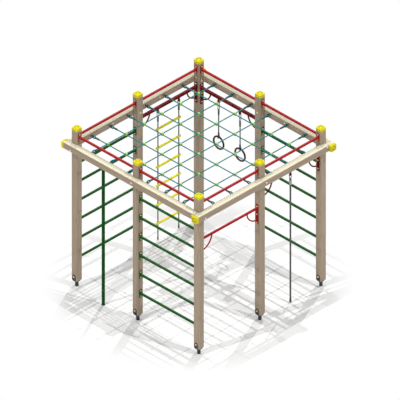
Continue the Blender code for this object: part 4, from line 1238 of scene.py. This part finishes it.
def shackle():
    """A bow shackle whose pin lies along X at the origin."""
    bow = arc(SHACKLE_HALF, 180.0, 360.0, 18, (0.0, SHACKLE_HALF - SHACKLE_DROP))
    path = [(-SHACKLE_HALF, 0.005)] + bow + [(SHACKLE_HALF, 0.005)]
    pin = lathe([(0.0, -0.024), (0.0075, -0.024), (0.0085, -0.023), (0.0085, -0.0215),
                 (0.0060, -0.0212), (0.0060, 0.0210), (0.0052, 0.0222), (0.0052, 0.0232),
                 (0.0040, 0.024), (0.0, 0.024)])
    collar = lathe([(0.0060, -0.0048), (0.0088, -0.0048), (0.0094, -0.0040), (0.0094, 0.0040),
                    (0.0088, 0.0048), (0.0060, 0.0048)])
    collars = [placed(collar, at(end * SHACKLE_HALF) @ X_AXIS) for end in (-1, 1)]
    return joined(bent([(x, 0.0, z) for x, z in path], ROD), placed(pin, X_AXIS), *collars)


def eye_of_rod(radius, plane, z):
    """A closed eye of rod round a height, in the XZ or the YZ plane."""
    points = [(a, 0.0, b) if plane == "XZ" else (0.0, a, b)
              for a, b in arc(radius, 0.0, 360.0, 28, (0.0, z))[:-1]]
    return bent(points, ROD, True)


def link(z):
    """An oval link in the YZ plane, the middle of its top rod at a height."""
    points = arc(LINK_HALF, 0.0, 180.0, 14, (0.0, z - LINK_HALF))
    points += arc(LINK_HALF, 180.0, 360.0, 14, (0.0, z + LINK_HALF - LINK_LENGTH))
    return bent([(0.0, y, height) for y, height in points], ROD, True)


def sleeve(top, low, diameter=SLEEVE_DIAMETER):
    """A pressed ferrule with three rings where the press closed it."""
    r = diameter / 2
    profile = [(0.0, top), (r - 0.003, top), (r, top - 0.004)]
    for share in PRESSED:
        z = top + (low - top) * share
        profile += [(r, z + 0.004), (r - 0.0012, z + 0.002), (r - 0.0012, z - 0.002),
                    (r, z - 0.004)]
    return lathe(profile + [(r, low + 0.003), (r - 0.002, low), (0.0, low)], 28)


def add_hung(name, place, *meshes, material=dark_steel, body="ladder", replaced=()):
    """Put meshes made round the origin's plumb line on another plumb line, as one piece."""
    add_piece(name, smooth(placed(joined(*meshes), place)), material, body, replaced)


print("shackles, links, eyes and ferrules")

# %% [markdown]
# ## Gymnastic rings
# Each ring hangs on a short dark rope between two ferrules. A link joins the upper eye to the
# shackle, and the lower eye goes round the ring. The ring is a round tube bent to a circle under
# a dull maroon coat, with shallow finger grooves, which the path's own radius makes.

# %% Rings
RING_PIN_Z, RING_SWAY_Z = 2.017, 1.958
RING_TOP_EYE_Z, RING_TOP = 1.879, 1.868
RING_ROPE_TOP, RING_ROPE_LOW, RING_LOW = 1.812, 1.522, 1.474
ROPE_IN_FERRULE = 0.006
GRIP_EYE, GRIP_EYE_Z = 0.020, 1.457
RING_RADIUS, RING_TUBE, RING_Z = 0.092, 0.026, 1.365
RING_ROPE = 0.016
GROOVES, GROOVE_DEPTH = 20, 0.05

count = 8 * GROOVES
path = [(x, 0.0, z) for x, z in arc(RING_RADIUS, 0.0, 360.0, count, (0.0, RING_Z))[:-1]]
widths = [1.0 - GROOVE_DEPTH * (0.5 + 0.5 * math.cos(GROOVES * math.tau * i / count)) ** 3
          for i in range(count)]
hoop = bent(path, RING_TUBE, True, 6, widths)
rope_ends = RING_ROPE_TOP + ROPE_IN_FERRULE, RING_ROPE_LOW - ROPE_IN_FERRULE
for number, x in ((1, -0.77), (2, -0.37)):
    place, line = at(x, SPACING), f"ring_{number}_line"
    add_hung(f"shackle_ring_{number}", place, placed(shackle(), at(z=RING_PIN_Z)),
             body=f"ring_{number}_hanger", replaced=[f"ring_shackle_{number}"])
    add_hung(f"ring_link_and_eyes_{number}", place, link(RING_SWAY_Z),
             eye_of_rod(HANG_EYE, "XZ", RING_TOP_EYE_Z), eye_of_rod(GRIP_EYE, "YZ", GRIP_EYE_Z),
             body=line)
    add_hung(f"ring_ferrules_{number}", place, sleeve(RING_TOP, RING_ROPE_TOP),
             sleeve(RING_ROPE_LOW, RING_LOW), body=line)
    mesh = laid_rope([[(x, SPACING, z) for z in rope_ends]], Diameter=RING_ROPE, Lay=THIN_LAY,
                     Material=dark_rope)
    add_piece(f"ring_line_rope_{number}", mesh, None, line, [f"ring_rope_{number}"])
    add_hung(f"ring_{number}_hoop", place, hoop, material=maroon_grip,
             body=f"ring_{number}_grip", replaced=[f"gym_ring_{number}"])
print("two rings at", RING_Z, "m")

# %% [markdown]
# ## Rope ladder
# Two shackles carry an eye and a ferrule each, from which the side ropes hang. The six rungs are
# moulded in yellow plastic with a thick collar round each rope, and a slimmer grip between them
# with fine ridges. One turned rung is the pattern, and the copies tree sets out the six.

# %% Rope ladder
LADDER_PIN_Z = 2.039
LADDER_EYE_Z, LADDER_FERRULE_TOP = 1.962, 1.951
RUNG_END, RUNG_COLLAR = 0.225, 0.160
GRIP_LOW, GRIP_HIGH, RIDGES, RIDGE_PITCH = 0.0157, 0.0165, 9, 0.015
FERRULE_GAP = 0.0005       # a ferrule reaches this far below its rope's exit


def rung_pattern():
    half = [(0.0158, RUNG_COLLAR - 0.012), (0.0160, RUNG_COLLAR - 0.004), (0.0169, RUNG_COLLAR),
            (0.0170, RUNG_COLLAR + 0.006), (0.0170, RUNG_END - 0.006),
            (0.0155, RUNG_END - 0.0015), (0.0130, RUNG_END), (0.0, RUNG_END)]
    grip = [(r, number * RIDGE_PITCH + z) for number in range(-RIDGES, RIDGES + 1)
            for r, z in ((GRIP_LOW, -0.0045), (GRIP_HIGH, -0.0025), (GRIP_HIGH, 0.0025),
                         (GRIP_LOW, 0.0045))]
    return lathe([(a, -z) for a, z in reversed(half)] + grip + half)


turn = side_turn(LEFT)
for end, y in LADDER_ROPES.items():
    place = at(LADDER_X, y)
    add_hung(f"ladder_shackle_{end}", place @ turn, placed(shackle(), at(z=LADDER_PIN_Z)),
             eye_of_rod(HANG_EYE, "YZ", LADDER_EYE_Z), replaced=[f"ladder_hanger_{end}"])
    add_hung(f"ladder_ferrule_{end}", place,
             sleeve(LADDER_FERRULE_TOP, LADDER_ROPE_TOP - FERRULE_GAP))
rung_places = [at(LADDER_X, SPACING / 2, RUNG_Z + PITCH * number) @ TO_BACK for number in range(6)]
add_copies("ladder_rungs", rung_pattern(), rung_places, rung_plastic, "ladder",
           [f"ladder_rung_{number + 1}" for number in range(6)])

# %% [markdown]
# ## The climbing rope's hardware
# The thick rope hangs from a shackle by an eye that is pressed on it with a long light ferrule,
# so it can swing in both directions.

# %% Climbing rope's eye
ROPE_PIN_Z, ROPE_EYE_Z = 2.032, 1.959
CLIMB_FERRULE, CLIMB_FERRULE_TOP = 0.038, 1.948
place = at(*CLIMB_PLACE) @ side_turn(RIGHT)
add_hung("shackle_rope", place, placed(shackle(), at(z=ROPE_PIN_Z)), body="rope_hanger",
         replaced=["rope_shackle"])
add_hung("rope_top_eye", place, eye_of_rod(HANG_EYE, "YZ", ROPE_EYE_Z), body="rope_line",
         replaced=["rope_eye"])
add_hung("rope_ferrule", place, sleeve(CLIMB_FERRULE_TOP, CLIMB_ROPE_TOP - FERRULE_GAP,
                                       CLIMB_FERRULE), material=grey_alloy, body="rope_line")
print("climbing rope hangs from", ROPE_PIN_Z, "m")
